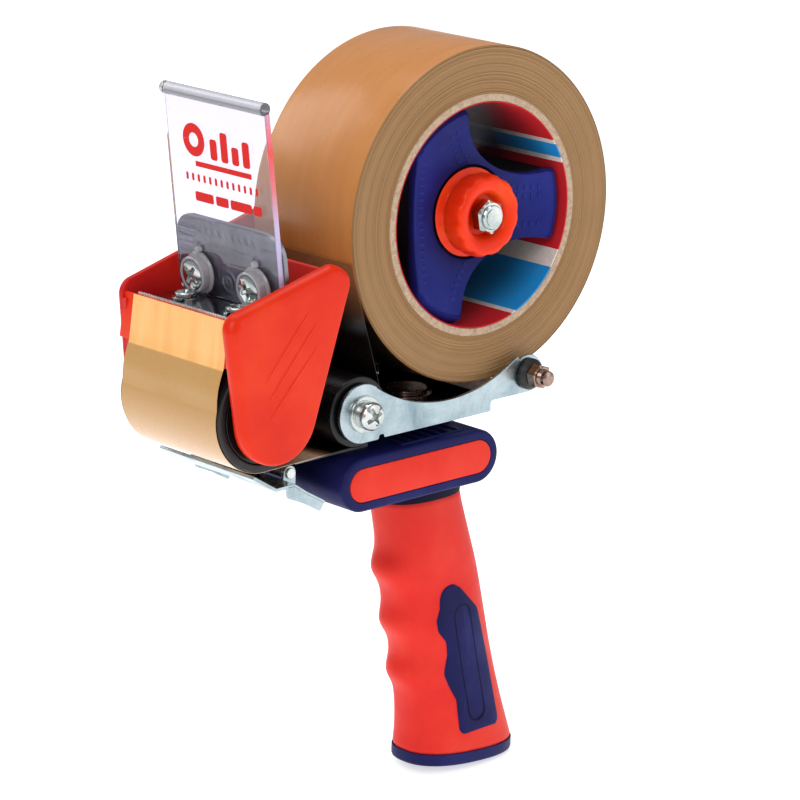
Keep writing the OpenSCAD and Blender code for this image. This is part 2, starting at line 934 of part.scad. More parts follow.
// The grip's outer form, grown by g all round
module grip_form(g = 0, rings = 32, sides = 40) {
    pts = [for (i = [0:rings], j = [0:sides - 1])
        let (z = grip_top + (grip_low - grip_top) * i / rings,
             t = 360 * j / sides, c = cos(t), s = sin(t),
             k = pow(pow(abs(c), GRIP_POWER) + pow(abs(s), GRIP_POWER),
                     -1 / GRIP_POWER),
             f = c < 0 ? bump(z) * c * c : 0,
             x = at(z, 1) + (at(z, 2) + g) * k * c - f)
        [x, (at(z, 3) + g) * k * s, z - tilt_at(z) * (x - base_front)]];
    walls = [for (i = [0:rings - 1], j = [0:sides - 1])
        let (k = (j + 1) % sides)
        each [[i * sides + j, i * sides + k, (i + 1) * sides + k],
              [i * sides + j, (i + 1) * sides + k, (i + 1) * sides + j]]];
    first = [[for (j = [sides - 1:-1:0]) j]];
    last = [[for (j = [0:sides - 1]) rings * sides + j]];
    polyhedron(pts, concat(first, walls, last));
}

// Side insert: stepped front edge, straight rear edge
INSERT = [[-3.8, -131.2], [-8, -132.8], [-9, -136.2], [-9, -139.8],
    [-10.3, -143.9], [-9.4, -148.1], [-6.2, -152.1], [-5.8, -156.9],
    [-7.2, -163.9], [-4.9, -169.2], [-2.2, -174.3], [-1.3, -185.6],
    [0.1, -187.1], [16.1, -186.9], [17, -184.6], [13.7, -163.3], [10, -147.8],
    [8.6, -142.7], [5.4, -139.4], [-0.2, -133.4]];
insert_floor = 9.5;

module insert_block(s) {
    slab(s < 0 ? -30 : insert_floor, s < 0 ? -insert_floor : 30)
        polygon(INSERT);
}

module grip() {
    color([0.94, 0.27, 0.22]) difference() {
        grip_form();
        insert_block(-1);
        insert_block(1);
        translate([handle_x, 0, -127])
            cylinder(r = spigot_r, h = grip_top + 128);
        tilted_base() translate([base_x, 0, grip_low - 1]) cylinder(r = 2, h = 18);
    }
}

module insert(s) {
    color([0.2, 0.22, 0.48]) intersection() {
        insert_block(s);
        grip_form(0.5);
    }
}

module near_insert() {
    insert(-1);
}

module far_insert() {
    insert(1);
}

module base_cap() {
    color([0.18, 0.19, 0.45]) tilted_base() difference() {
        translate([base_x, 0, foot_z])
            linear_extrude(grip_low - foot_z)
                intersection() {
                    union() {
                        for (s = [-1, 1]) translate([s * 9.2, 0]) circle(r = 15.2);
                        square([18.4, 30.4], center = true);
                    }
                    square([48.8, 40], center = true);
                }
        translate([base_x, 0, foot_z - 1]) cylinder(r = 2, h = 10);
        translate([base_x, 0, foot_z - 1]) cylinder(r = 4, h = 3.4);
    }
}

module base_screw() {
    color("silver") tilted_base() translate([base_x, 0, foot_z + 2.4])
        rotate([180, 0, 0]) screw(1.95, 3.6, 2, 15);
}

// ---- Assembly -------------------------------------------------------------

side_frame();
front_bracket();
guard();
guard_screws();
blade();
blade_screws();
blade_washers();
blade_nuts();
flap_clamp();
flap();
flap_screws();
flap_washers();
flap_nuts();
front_roller();
front_sleeve();
front_axle();
guide_roller();
guide_axle();
guide_screws();
guide_washers();
lock_washers();
spindle_bolt();
spindle_tube();
spindle_nut();
spindle_washer();
friction_washer();
hub();
tape_core();
tape_roll();
tape_web();
brake_washer();
brake_spring();
thrust_washer();
brake_knob();
rear_bolt();
rear_bumper();
rear_nut();
retainer_bracket();
bracket_screws();
retainer_plate();
retainer_pin();
retainer_spring();
collar_body();
collar_panels();
frame_screws();
handle_bolt();
handle_washer();
handle_nut();
neck_ring();
grip();
near_insert();
far_insert();
base_cap();
base_screw();
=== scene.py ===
from math import acos, atan2, cos, degrees, exp, hypot, pi, radians, sin, sqrt, tan, tau

import bmesh
import bpy
from mathutils import Matrix, Vector


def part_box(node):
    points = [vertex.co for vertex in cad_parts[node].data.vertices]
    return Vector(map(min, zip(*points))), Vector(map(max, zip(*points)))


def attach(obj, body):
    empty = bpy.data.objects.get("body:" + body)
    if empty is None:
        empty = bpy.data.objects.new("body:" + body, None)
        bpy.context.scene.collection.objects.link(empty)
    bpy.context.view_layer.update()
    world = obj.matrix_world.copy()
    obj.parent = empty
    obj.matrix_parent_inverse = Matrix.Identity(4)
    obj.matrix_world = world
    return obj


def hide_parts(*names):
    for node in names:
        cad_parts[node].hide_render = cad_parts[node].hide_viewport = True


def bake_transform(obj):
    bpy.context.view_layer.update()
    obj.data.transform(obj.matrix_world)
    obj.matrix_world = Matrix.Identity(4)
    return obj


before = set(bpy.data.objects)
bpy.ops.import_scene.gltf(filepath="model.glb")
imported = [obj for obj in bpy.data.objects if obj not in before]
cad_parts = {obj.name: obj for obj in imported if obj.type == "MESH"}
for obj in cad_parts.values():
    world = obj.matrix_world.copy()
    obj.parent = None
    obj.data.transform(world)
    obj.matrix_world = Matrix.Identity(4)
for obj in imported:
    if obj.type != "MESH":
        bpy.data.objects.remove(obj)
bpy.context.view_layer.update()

MM = 0.001


# ---- Places taken from the frame, in millimetres --------------------------

class Box:
    """A CAD node's box at rest: its corners, and its centre and radius seen along Y."""

    def __init__(self, node):
        low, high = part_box(node)
        self.x0, self.y0, self.z0 = (v / MM for v in low)
        self.x1, self.y1, self.z1 = (v / MM for v in high)
        self.c = ((self.x0 + self.x1) / 2, (self.z0 + self.z1) / 2)
        self.r = (self.x1 - self.x0) / 2


AXIS = (0.0, 0.0)
ROLL, CORE, WEB = Box("tape_roll"), Box("tape_core"), Box("tape_web")
HUB, KNOB, NUT, BOLT = Box("hub"), Box("brake_knob"), Box("spindle_nut"), Box("spindle_bolt")
FRONT, GUIDE, GUARD = Box("front_sleeve"), Box("guide_roller"), Box("guard")
BLADE, CLAMP, FLAP = Box("blade"), Box("flap_clamp"), Box("flap")
SIDE, REAR, PIN = Box("side_frame"), Box("rear_bolt"), Box("retainer_pin")
COLLAR, NECK, GRIP, CAP = Box("collar_body"), Box("neck_ring"), Box("grip"), Box("base_cap")
BASE_Z = SIDE.z0 + 0.3
SHEET_T = 1.5


# ---- Node materials -------------------------------------------------------

def tone(colour):
    """Linear colour; three values are display values from 0 to 255."""
    def linear(v):
        v /= 255
        return v / 12.92 if v <= 0.04045 else ((v + 0.055) / 1.055) ** 2.4
    return colour if len(colour) == 4 else (*map(linear, colour), 1.0)


class Material:
    """A node material under construction, with a Principled shader."""

    def __init__(self, name):
        self.mat = bpy.data.materials.new(name)
        self.mat.use_nodes = True
        self.tree = self.mat.node_tree
        self.shader = self.tree.nodes["Principled BSDF"]
        self.coords = self.add("ShaderNodeTexCoord").outputs["Object"]
        self.bumped = None

    def add(self, kind, **values):
        node = self.tree.nodes.new(kind)
        for key, value in values.items():
            setattr(node, key, value)
        return node

    def feed(self, socket, value):
        """Sets a socket to a number or colour, or links an output to it."""
        if isinstance(value, tuple):
            socket.default_value = tone(value)
        elif isinstance(value, (int, float)):
            socket.default_value = value
        else:
            self.tree.links.new(value, socket)

    def set(self, **values):
        for key, value in values.items():
            self.feed(self.shader.inputs[key.replace("_", " ")], value)

    def axes(self, vector=None):
        """The X, Y and Z of a vector, by default of the place on the object."""
        node = self.add("ShaderNodeSeparateXYZ")
        self.feed(node.inputs["Vector"], vector or self.coords)
        return node.outputs["X"], node.outputs["Y"], node.outputs["Z"]

    def scaled(self, x, y, z):
        node = self.add("ShaderNodeMapping")
        node.inputs["Scale"].default_value = (x, y, z)
        self.feed(node.inputs["Vector"], self.coords)
        return node.outputs["Vector"]

    def noise(self, scale, detail=3.0, rough=0.55, vector=None, distortion=0.0):
        node = self.add("ShaderNodeTexNoise")
        for key, value in (("Scale", scale), ("Detail", detail), ("Roughness", rough),
                           ("Distortion", distortion), ("Vector", vector or self.coords)):
            self.feed(node.inputs[key], value)
        return node.outputs["Fac"]

    def ramp(self, value, *stops, steps=False):
        node = self.add("ShaderNodeValToRGB")
        if steps:
            node.color_ramp.interpolation = "CONSTANT"
        points = node.color_ramp.elements
        while len(points) < len(stops):
            points.new(0.99)
        for point, (place, colour) in zip(points, stops):
            point.position = place
            point.color = tone(colour)
        self.feed(node.inputs["Fac"], value)
        return node.outputs["Color"]

    def span(self, value, low, high, start=0.0, end=1.0):
        """Maps value from start and end to low and high, and no further."""
        node = self.add("ShaderNodeMapRange")
        for key, number in (("From Min", start), ("From Max", end), ("To Min", low),
                            ("To Max", high), ("Value", value)):
            self.feed(node.inputs[key], number)
        return node.outputs["Result"]

    def math(self, what, a, b=0.5):
        node = self.add("ShaderNodeMath", operation=what)
        self.feed(node.inputs[0], a)
        self.feed(node.inputs[1], b)
        return node.outputs["Value"]

    def times(self, a, b):
        return self.math("MULTIPLY", a, b)

    def mix(self, factor, a, b):
        node = self.add("ShaderNodeMix", data_type="RGBA")
        for i, value in ((0, factor), (6, a), (7, b)):
            self.feed(node.inputs[i], value)
        return node.outputs[2]

    def bump(self, height, strength, distance):
        node = self.add("ShaderNodeBump")
        for key, value in (("Strength", strength), ("Distance", distance), ("Height", height)):
            self.feed(node.inputs[key], value)
        if self.bumped:
            self.feed(node.inputs["Normal"], self.bumped)
        self.bumped = node.outputs["Normal"]
        self.set(Normal=self.bumped)

    def worn(self, colour, light, reach=0.62):
        """Colour with lighter, rubbed high edges."""
        edge = self.add("ShaderNodeNewGeometry").outputs["Pointiness"]
        rubbed = self.times(self.span(edge, 0, 1, 0.52, reach), self.noise(900, 4))
        return self.mix(rubbed, colour, light)


def plastic(name, base, dark, light, rough=0.38, grain=2600, bump=0.05, coat=0.0, spec=0.22,
            edge=0.62, deep_shade=False):
    """Moulded plastic; the hub's deep side walls are painted almost black: painted shade."""
    m = Material(name)
    colour = m.ramp(m.noise(35, 4), (0.3, dark), (0.5, base), (0.75, light))
    colour = m.mix(m.span(m.noise(1800, 2), 0, 0.12, 0.55, 0.75), colour, light)
    colour = m.worn(colour, light, edge)
    if deep_shade:
        # Painted shade: the hub's side walls turn almost black the deeper they lie behind its face.
        deep = m.span(m.axes()[1], 0, 1, (HUB.y0 + 2.6) * MM, (HUB.y0 + 5.8) * MM)
        colour = m.mix(deep, colour, (0.003, 0.003, 0.006, 1))
    scuff = m.noise(60, 6, 0.7, m.scaled(1, 3, 1))
    m.bump(m.noise(grain, 2), bump, 0.0001)
    m.bump(m.noise(180, 3), 0.04, 0.0004)
    m.set(Base_Color=colour, Roughness=m.span(scuff, rough - 0.07, rough + 0.1, 0.3, 0.7),
          Coat_Weight=coat, Coat_Roughness=0.12, Specular_IOR_Level=spec)
    return m.mat


def steel(name, base, tint, dark, rough=0.3, brushed=(1, 1, 1), streak=220, bump=0.06,
          inner_y=None):
    """Bare metal; a sheet's face on the roll's side can be painted near black: painted shade."""
    m = Material(name)
    blotch = m.noise(60, 5, 0.65, distortion=0.4)
    colour = m.ramp(blotch, (0.28, dark), (0.5, base), (0.74, tint))
    lines = m.noise(streak, 4, 0.6, m.scaled(*brushed))
    colour = m.mix(m.span(lines, 0.0, 0.25, 0.5, 0.8), colour, dark)
    if inner_y:
        # Painted shade: the sheet's face on the roll's side, below inner_y, turns near black.
        inner_shade = m.span(m.axes()[1], 1, 0, inner_y * MM, (inner_y + 0.6) * MM)
        colour = m.mix(inner_shade, colour, (0.008, 0.008, 0.009, 1))
    m.bump(lines, bump, 0.0001)
    m.bump(m.noise(1500, 2), 0.03, 0.00008)
    m.set(Base_Color=colour, Metallic=1.0, Specular_IOR_Level=0.5,
          Roughness=m.span(m.noise(140, 5, 0.7), rough - 0.08, rough + 0.14, 0.3, 0.72))
    return m.mat


def rubber(name, base, light, rough):
    m = Material(name)
    m.bump(m.noise(2200, 3), 0.12, 0.0001)
    m.set(Base_Color=m.worn(m.ramp(m.noise(80, 4), (0.3, base), (0.8, light)), light),
          Roughness=m.span(m.noise(220, 5), rough - 0.1, rough + 0.12, 0.3, 0.7),
          Specular_IOR_Level=0.45)
    return m.mat


def tape_film(name, base, dark, light, rough=0.3, shaded=False):
    """Smooth brown film with faint streaks; the free tape is painted lighter and darker along its
    way, as painted light and shade, and other film gets a painted shadow on faces that point down
    and to the front.
    """
    m = Material(name)
    streak = m.noise(60, 2, 0.4, m.scaled(0.5, 5, 0.5))
    colour = m.ramp(streak, (0.3, dark), (0.52, base), (0.75, light))
    if shaded:
        x, _, z = m.axes()
        # Painted light and shade by height: below the lip the tape is painted darker.
        colour = m.mix(m.span(z, 1, 0, -0.034, -0.0335), colour, (194, 150, 92))
        # Painted light: the lowest part of the tape is painted lighter again.
        colour = m.mix(m.span(z, 1, 0, -0.07, -0.05), colour, (222, 184, 148))
        # Painted shade: darker towards the rear, and near black where the rear part runs low, under
        # the roll.
        behind = m.span(x, 0, 1, -0.072, -0.066)
        colour = m.mix(behind, colour, (150, 104, 66))
        under = m.times(behind, m.span(z, 1, 0, -0.03, -0.012))
        colour = m.mix(under, colour, (0.006, 0.004, 0.003, 1))
    else:
        # Painted shadow: faces that point down and to the front are painted near black.
        x, _, z = m.axes(m.add("ShaderNodeNewGeometry").outputs["Normal"])
        below = m.times(m.span(z, 1, 0, -0.5, -0.12), m.span(x, 1, 0, -0.45, -0.1))
        colour = m.mix(below, colour, (0.01, 0.006, 0.004, 1))
    m.bump(streak, 0.02, 0.0006)
    m.bump(m.noise(40, 3, 0.5, m.scaled(1, 0.5, 1)), 0.05, 0.0012)
    m.set(Base_Color=colour, Coat_Weight=0.15, Coat_Roughness=0.2, Specular_IOR_Level=0.3,
          Roughness=m.span(m.noise(90, 4), rough - 0.05, rough + 0.08, 0.3, 0.7))
    return m.mat


def tape_side(name, base, dark, light):
    """Edges of the wound turns: fine rings about the roll's axis."""
    m = Material(name)
    x, _, z = m.axes()
    place = m.add("ShaderNodeCombineXYZ")
    m.feed(place.inputs["X"], m.math("SQRT", m.math("ADD", m.times(x, x), m.times(z, z))))
    wide = m.noise(420, 5, 0.75, place.outputs["Vector"])
    fine = m.noise(3600, 2, 0.6, place.outputs["Vector"])
    colour = m.ramp(wide, (0.32, dark), (0.5, base), (0.7, light))
    colour = m.mix(m.span(fine, 0, 0.45, 0.5, 0.7), colour, dark)
    colour = m.mix(m.span(m.noise(50, 3), 0, 0.3, 0.5, 0.8), colour, light)
    m.bump(wide, 0.25, 0.0005)
    m.bump(fine, 0.3, 0.0002)
    m.set(Base_Color=colour, Roughness=m.span(wide, 0.42, 0.6, 0.3, 0.7))
    return m.mat


def card(name):
    m = Material(name)
    fibre = m.noise(700, 4, 0.7, m.scaled(1, 1, 1))
    colour = m.ramp(fibre, (0.3, (158, 130, 106)), (0.5, (188, 162, 136)),
                    (0.75, (206, 184, 160)))
    speck = m.span(m.noise(2400, 2), 0, 0.6, 0.62, 0.72)
    m.bump(fibre, 0.3, 0.0003)
    m.set(Base_Color=m.mix(speck, colour, (150, 120, 98)), Roughness=0.85)
    return m.mat


def core_print(name):
    """Printed paper liner: bands of red, white and blue, along the axis."""
    m = Material(name)
    red, white, blue = (206, 34, 44), (228, 222, 214), (20, 150, 226)
    bands = ((-180, red), (-71, white), (-68, blue), (-37, white), (-27, red), (19, white),
             (22, blue), (30, white), (33, red))
    x, y, z = m.axes()
    turn = m.math("ADD", m.math("DIVIDE", m.math("ARCTAN2", z, x), tau), 0.5)
    colour = m.ramp(turn, *((start / 360 + 0.5, ink) for start, ink in bands), steps=True)
    paper = m.noise(500, 4, 0.7)
    colour = m.mix(m.span(paper, 0, 0.25, 0.4, 0.8), colour, (120, 80, 80))
    # Painted shade inside the core: darker towards its far end, most in its upper part.
    dim = m.times(m.span(z, 0.35, 0.96, -0.004, 0.012), m.span(y, 0, 1, -0.021, 0.008))
    m.bump(paper, 0.12, 0.0003)
    m.set(Base_Color=m.mix(dim, colour, (0.008, 0.002, 0.012, 1)), Specular_IOR_Level=0.1,
          Roughness=m.span(paper, 0.5, 0.7))
    return m.mat


def clear_sheet(name, tint, through=1.0, haze=0.0):
    m = Material(name)
    m.bump(m.noise(20, 2), 0.02, 0.001)
    cloud = m.span(m.noise(90, 3), 0, 0.3, 0.4, 0.8)
    m.set(Base_Color=m.mix(cloud, tint, tuple(0.95 * part for part in tint)),
          Roughness=m.span(m.noise(120, 5, 0.7), haze, haze + 0.06, 0.4, 0.8),
          Transmission_Weight=through, IOR=1.46)
    return m.mat


def edge_glow(name):
    """Cut edge of the clear sheet: it gathers red light in its upper part."""
    m = Material(name)
    height = m.span(m.axes()[2], 0, 1, CLAMP.z0 * MM, FLAP.z1 * MM)
    streak = m.noise(300, 3, 0.6, m.scaled(1, 1, 0.2))
    place = m.math("ADD", height, m.times(streak, 0.12))
    colour = m.ramp(place, (0.5, (196, 186, 222)), (0.66, (226, 120, 130)),
                    (0.85, (238, 70, 76)), (1.0, (220, 150, 170)))
    m.bump(streak, 0.05, 0.0002)
    m.set(Base_Color=colour, Roughness=m.span(streak, 0.2, 0.34))
    return m.mat


def red_ink(name, base):
    m = Material(name)
    m.bump(m.noise(1200, 2), 0.05, 0.00005)
    m.set(Base_Color=m.mix(m.span(m.noise(900, 3), 0, 0.15), base, (230, 60, 50)),
          Roughness=m.span(m.noise(300, 3), 0.3, 0.45), Specular_IOR_Level=0.1)
    return m.mat


FINISHES = {  # finish: the record's material slot, and the node material
    "guard": ("guard_orange", plastic("guard_plastic", (226, 43, 8), (216, 34, 6), (234, 60, 20),
                                      0.34, 3000, 0.03, 0.1, 0.16)),
    # A darker copy of the guard's orange, for the far cheek and the back wall: painted shade inside
    # the guard.
    "inner": ("guard_orange", plastic("guard_shaded_plastic", (204, 24, 22), (184, 14, 20),
                                      (224, 44, 30), 0.4, 3000, 0.03)),
    "knob": ("knob_orange", plastic("knob_plastic", (242, 52, 4), (232, 40, 4), (255, 92, 24),
                                    0.32, 2600, 0.02, 0.1, 0.16)),
    # The hub gets painted shade on its deep side walls.
    "hub": ("hub_blue", plastic("hub_plastic", (26, 34, 112), (20, 26, 94), (40, 50, 136),
                                0.5, 2600, 0.06, 0.0, 0.12, deep_shade=True)),
    "blue": ("handle_blue", plastic("handle_blue_plastic", (22, 24, 80), (18, 20, 68),
                                    (40, 44, 104), 0.46, 2200, 0.06, 0.0, 0.12)),
    # Near black blue, painted shade: the floor of the collar's slots, the groove line on each
    # insert and the neck ring under the collar.
    "shade_navy": ("handle_blue", plastic("dark_blue_shade_plastic", (12, 13, 36), (9, 10, 28),
                                    (20, 22, 52), 0.6, 2200, 0.06, 0.0, 0.1)),
    "grip": ("grip_orange", plastic("soft_grip", (230, 46, 32), (222, 32, 26), (238, 66, 46),
                                    0.48, 2600, 0.08)),
    "panel": ("grip_orange", plastic("panel_plastic", (230, 54, 38), (222, 44, 32),
                                     (236, 70, 50), 0.5, 2600, 0.06, 0.0, 0.16)),
    "zinc": ("zinc_steel", steel("zinc_sheet", (168, 184, 190), (194, 206, 210),
                                 (126, 146, 156), 0.24, (1, 8, 8), 160)),
    # The far plate's face on the roll's side gets painted shade.
    "far": ("zinc_steel", steel("zinc_sheet_far", (176, 192, 198), (198, 210, 214),
                                (140, 160, 172), 0.3, (1, 8, 8), 160, 0.06, SIDE.y1 - 1.2)),
    # Near black, painted shade: used for the skin on the base channel's floor and the plate behind
    # the flange's step.
    "black_shade": ("zinc_steel", rubber("painted_shade_black", (6, 6, 7), (14, 14, 16), 0.4)),
    "bracket": ("bracket_steel", steel("bracket_sheet", (142, 146, 152), (160, 162, 168),
                                       (120, 122, 130), 0.36, (8, 1, 8), 160, 0.02)),
    "blade": ("blade_steel", steel("ground_blade", (176, 180, 184), (206, 208, 210),
                                   (110, 112, 118), 0.14, (1, 12, 1), 300, 0.03)),
    # A lighter, warmer copy of the blade steel: painted highlight along the teeth.
    "teeth": ("blade_steel", steel("bright_teeth", (236, 230, 220), (250, 246, 238),
                                   (206, 198, 186), 0.34, (1, 12, 1), 300, 0.03)),
    "screw": ("screw_steel", steel("bright_screw", (196, 202, 200), (226, 228, 224),
                                   (130, 150, 148), 0.16, (1, 1, 1), 300, 0.03)),
    "spring": ("spring_steel", steel("spring_wire", (120, 120, 124), (150, 150, 154),
                                     (80, 80, 84))),
    "bronze": ("screw_steel", steel("dull_nut", (176, 150, 136), (206, 186, 172),
                                    (110, 92, 84), 0.24)),
    "roller": ("roller_plastic", plastic("roller_black", (9, 9, 11), (6, 6, 7), (18, 18, 21),
                                         0.26, 2000, 0.03, 0.0, 0.35, 0.7)),
    "rubber": ("black_rubber", rubber("black_sleeve", (14, 13, 14), (30, 28, 30), 0.45)),
    "felt": ("felt", rubber("felt_ring", (70, 64, 58), (90, 84, 76), 0.9)),
    "film": ("tape_brown", tape_film("tape_film", (202, 134, 72), (198, 131, 70),
                                     (206, 139, 77))),
    "web": ("tape_brown", tape_film("tape_web_film", (250, 190, 116), (244, 182, 108),
                                    (252, 198, 128), 0.24, True)),
    "side": ("tape_brown", tape_side("tape_edges", (153, 114, 68), (129, 93, 54),
                                     (171, 131, 84))),
    "card": ("card", card("core_card")),
    "print": ("card", core_print("core_liner")),
    "clear": ("clear_plastic", clear_sheet("clear_flap", (228, 224, 242))),
    "bead": ("clear_plastic", clear_sheet("flap_bead_plastic", (196, 196, 204), 0.85, 0.02)),
    "edge": ("clear_plastic", edge_glow("flap_edge_plastic")),
    "boss": ("screw_steel", clear_sheet("boss_plastic", (238, 235, 242), 0.6, 0.08)),
    "ink": (None, red_ink("red_ink", (214, 22, 14))),
}


# ---- Mesh helpers ---------------------------------------------------------

def welded(mesh, verts, faces):
    """Fills a mesh from points in millimetres, with its seams closed."""
    mesh.from_pydata([tuple(v * MM for v in p) for p in verts], [], faces)
    bm = bmesh.new()
    bm.from_mesh(mesh)
    bmesh.ops.remove_doubles(bm, verts=bm.verts, dist=2e-6)
    bmesh.ops.dissolve_degenerate(bm, edges=bm.edges, dist=1e-6)
    bmesh.ops.recalc_face_normals(bm, faces=bm.faces)
    bm.to_mesh(mesh)
    bm.free()
    mesh.shade_smooth()


def add_piece(name, shape, finish, node=None, body="frame", smooth=40, bevel=0.0, segments=2):
    """Makes a (verts, faces) shape a piece that rides on a body and replaces a node."""
    slot, material = FINISHES[finish]
    mesh = bpy.data.meshes.new(name)
    welded(mesh, *shape)
    mesh.materials.append(material)
    piece = bpy.data.objects.new(name, mesh)
    bpy.context.scene.collection.objects.link(piece)
    if bevel:
        mod = piece.modifiers.new("rounded_edges", "BEVEL")
        mod.width = bevel * MM
        mod.segments = segments
        mod.limit_method = "ANGLE"
        mod.angle_limit = radians(32)
        mod.harden_normals = True
        mod.use_clamp_overlap = True
    else:
        mesh.set_sharp_from_angle(angle=radians(smooth))
    if body:
        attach(piece, body)
    if node:
        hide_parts(node)
    return piece


def add_cad_shape(name, node, body, finish, bevel):
    """The node's own shape, merged and with its edges rounded."""
    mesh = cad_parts[node].data
    shape = ([tuple(v.co / MM) for v in mesh.vertices], [tuple(p.vertices) for p in mesh.polygons])
    piece = add_piece(name, shape, finish, node, body, bevel=bevel)
    bm = bmesh.new()
    bm.from_mesh(piece.data)
    bmesh.ops.dissolve_limit(bm, angle_limit=radians(1.5), verts=bm.verts, edges=bm.edges)
    bm.to_mesh(piece.data)
    bm.free()


def around(count, point):
    """What point gives at each of count even angles of a full turn."""
    return [point(tau * i / count) for i in range(count)]


def between(a, b, t):
    return tuple(p + (q - p) * t for p, q in zip(a, b))


def arc(c, r, a0, a1, n):
    """Points of an arc in degrees, about c."""
    angles = [radians(a0 + (a1 - a0) * i / n) for i in range(n + 1)]
    return [(c[0] + r * cos(a), c[1] + r * sin(a)) for a in angles]


def fillet(points, radius, n=4, closed=False):
    """An outline with its corners rounded; radius is one number or one a point."""
    out = []
    count = len(points)
    for i, p in enumerate(points):
        r = radius[i] if isinstance(radius, list) else radius
        if r <= 0 or (not closed and i in (0, count - 1)):
            out.append(p)
            continue
        corner = Vector(p)
        ua, ub = Vector(points[i - 1]) - corner, Vector(points[(i + 1) % count]) - corner
        room = 0.49 * min(ua.length, ub.length)
        ua.normalize()
        ub.normalize()
        half = acos(max(-1, min(1, ua.dot(ub)))) / 2
        if half > pi / 2 - 0.01 or half < 0.01:
            out.append(p)
            continue
        cut = min(r / tan(half), room)
        r = cut * tan(half)
        start, end = ua * cut, ub * cut
        centre = (ua + ub).normalized() * (r / sin(half))
        a0 = atan2(start.y - centre.y, start.x - centre.x)
        a1 = atan2(end.y - centre.y, end.x - centre.x)
        turn = (a1 - a0 + pi) % tau - pi
        centre += corner
        out += [(centre.x + r * cos(a0 + turn * k / n), centre.y + r * sin(a0 + turn * k / n))
                for k in range(n + 1)]
    return out


def rectangle(x0, x1, y0, y1):
    return [(x0, y0), (x1, y0), (x1, y1), (x0, y1)]


def loft(rings, closed=False, strip=False):
    """Quads between rings of equal length; the end rings are capped, or joined if closed.

    A strip's rings stay open.
    """
    count = len(rings[0])
    verts = [p for ring in rings for p in ring]
    faces = []
    for i in range(len(rings) - (not closed)):
        a, b = i * count, (i + 1) % len(rings) * count
        for j in range(count - strip):
            k = (j + 1) % count
            faces.append((a + j, a + k, b + k, b + j))
    if not closed:
        faces.append(tuple(range(count))[::-1])
        faces.append(tuple(range(len(verts) - count, len(verts))))
    return verts, faces


def lathe(profile, c=AXIS, seg=96, strip=False):
    """A solid turned about the line through c along Y, from (r, y) points."""
    return loft(around(seg, lambda a: [(c[0] + r * cos(a), y, c[1] + r * sin(a))
                                       for r, y in profile]), True, strip)


def turned(profile, seg=56):
    """A closed (radius, z) profile turned about +Z."""
    return loft(around(seg, lambda a: [(q * cos(a), q * sin(a), z) for q, z in profile]), True)


def stacked(layers, axis=1):
    """A solid through (level, outline) layers along X, Y or Z: axis 0, 1 or 2."""
    return loft([[p[:axis] + (level,) + p[axis:] for p in outline] for level, outline in layers])


def slab(outline, low, high, axis=1):
    return stacked([(low, outline), (high, outline)], axis)


def block(x0, x1, y0, y1, z0, z1):
    return slab(rectangle(x0, x1, z0, z1), y0, y1)


def joined(*shapes):
    """Several (verts, faces) shapes as one."""
    verts, faces = [], []
    for v, f in shapes:
        base = len(verts)
        verts += v
        faces += [tuple(i + base for i in face) for face in f]
    return verts, faces


def placed(shape, matrix):
    verts, faces = shape
    return [tuple(matrix @ Vector(v)) for v in verts], faces


def facing(x, y, z, direction, turn=0.0):
    """Places a +Z part at a point, pointing along direction."""
    to = Vector(direction).to_track_quat("Z", "Y").to_matrix().to_4x4()
    return Matrix.Translation((x, y, z)) @ to @ Matrix.Rotation(radians(turn), 4, "Z")


def hull_outline(discs, n=14):
    """Points and outward normals round the hull of discs given anticlockwise."""
    normals = []
    for (ax, az, ar), (bx, bz, br) in zip(discs, discs[1:] + discs[:1]):
        normals.append(atan2(bz - az, bx - ax) - acos((ar - br) / hypot(bx - ax, bz - az)))
    out = []
    for i, (x, z, r) in enumerate(discs):
        turn = (normals[i] - normals[i - 1]) % tau
        for k in range(n + 1):
            a = normals[i - 1] + turn * k / n
            out.append(((x + r * cos(a), z + r * sin(a)), (cos(a), sin(a))))
    return out


def split_long(outline, step):
    """The outline with its long sides divided, so that a bend can follow."""
    out = []
    for (p, normal), (q, other) in zip(outline, outline[1:] + outline[:1]):
        parts = max(1, int(hypot(q[0] - p[0], q[1] - p[1]) / step))
        out += [(between(p, q, k / parts), between(normal, other, k / parts))
                for k in range(parts)]
    return out


def inset(outline, d):
    return [(p[0] - n[0] * d, p[1] - n[1] * d) for p, n in outline]


def directions(points):
    """Unit directions along a line of points."""
    ahead, behind = points[1:] + points[-1:], points[:1] + points[:-1]
    return [(Vector(b) - Vector(a)).normalized() for a, b in zip(behind, ahead)]


def ribbon(points, t):
    """A strip of thickness t along points, as a closed outline."""
    sides = [(p[0], p[1], d.y * t / 2, d.x * t / 2) for p, d in zip(points, directions(points))]
    return ([(x - dx, y + dy) for x, y, dx, dy in sides]
            + [(x + dx, y - dy) for x, y, dx, dy in sides[::-1]])


def sweep(points, r, sides=10):
    """A round wire along 3D points."""
    rings = []
    for p, d in zip(points, directions(points)):
        u = (u - d * u.dot(d)).normalized() if rings else d.orthogonal().normalized()
        v = d.cross(u)
        rings.append(around(sides, lambda a: tuple(Vector(p) + (u * cos(a) + v * sin(a)) * r)))
    return loft(rings)


# ---- Tape roll, core and web ----------------------------------------------

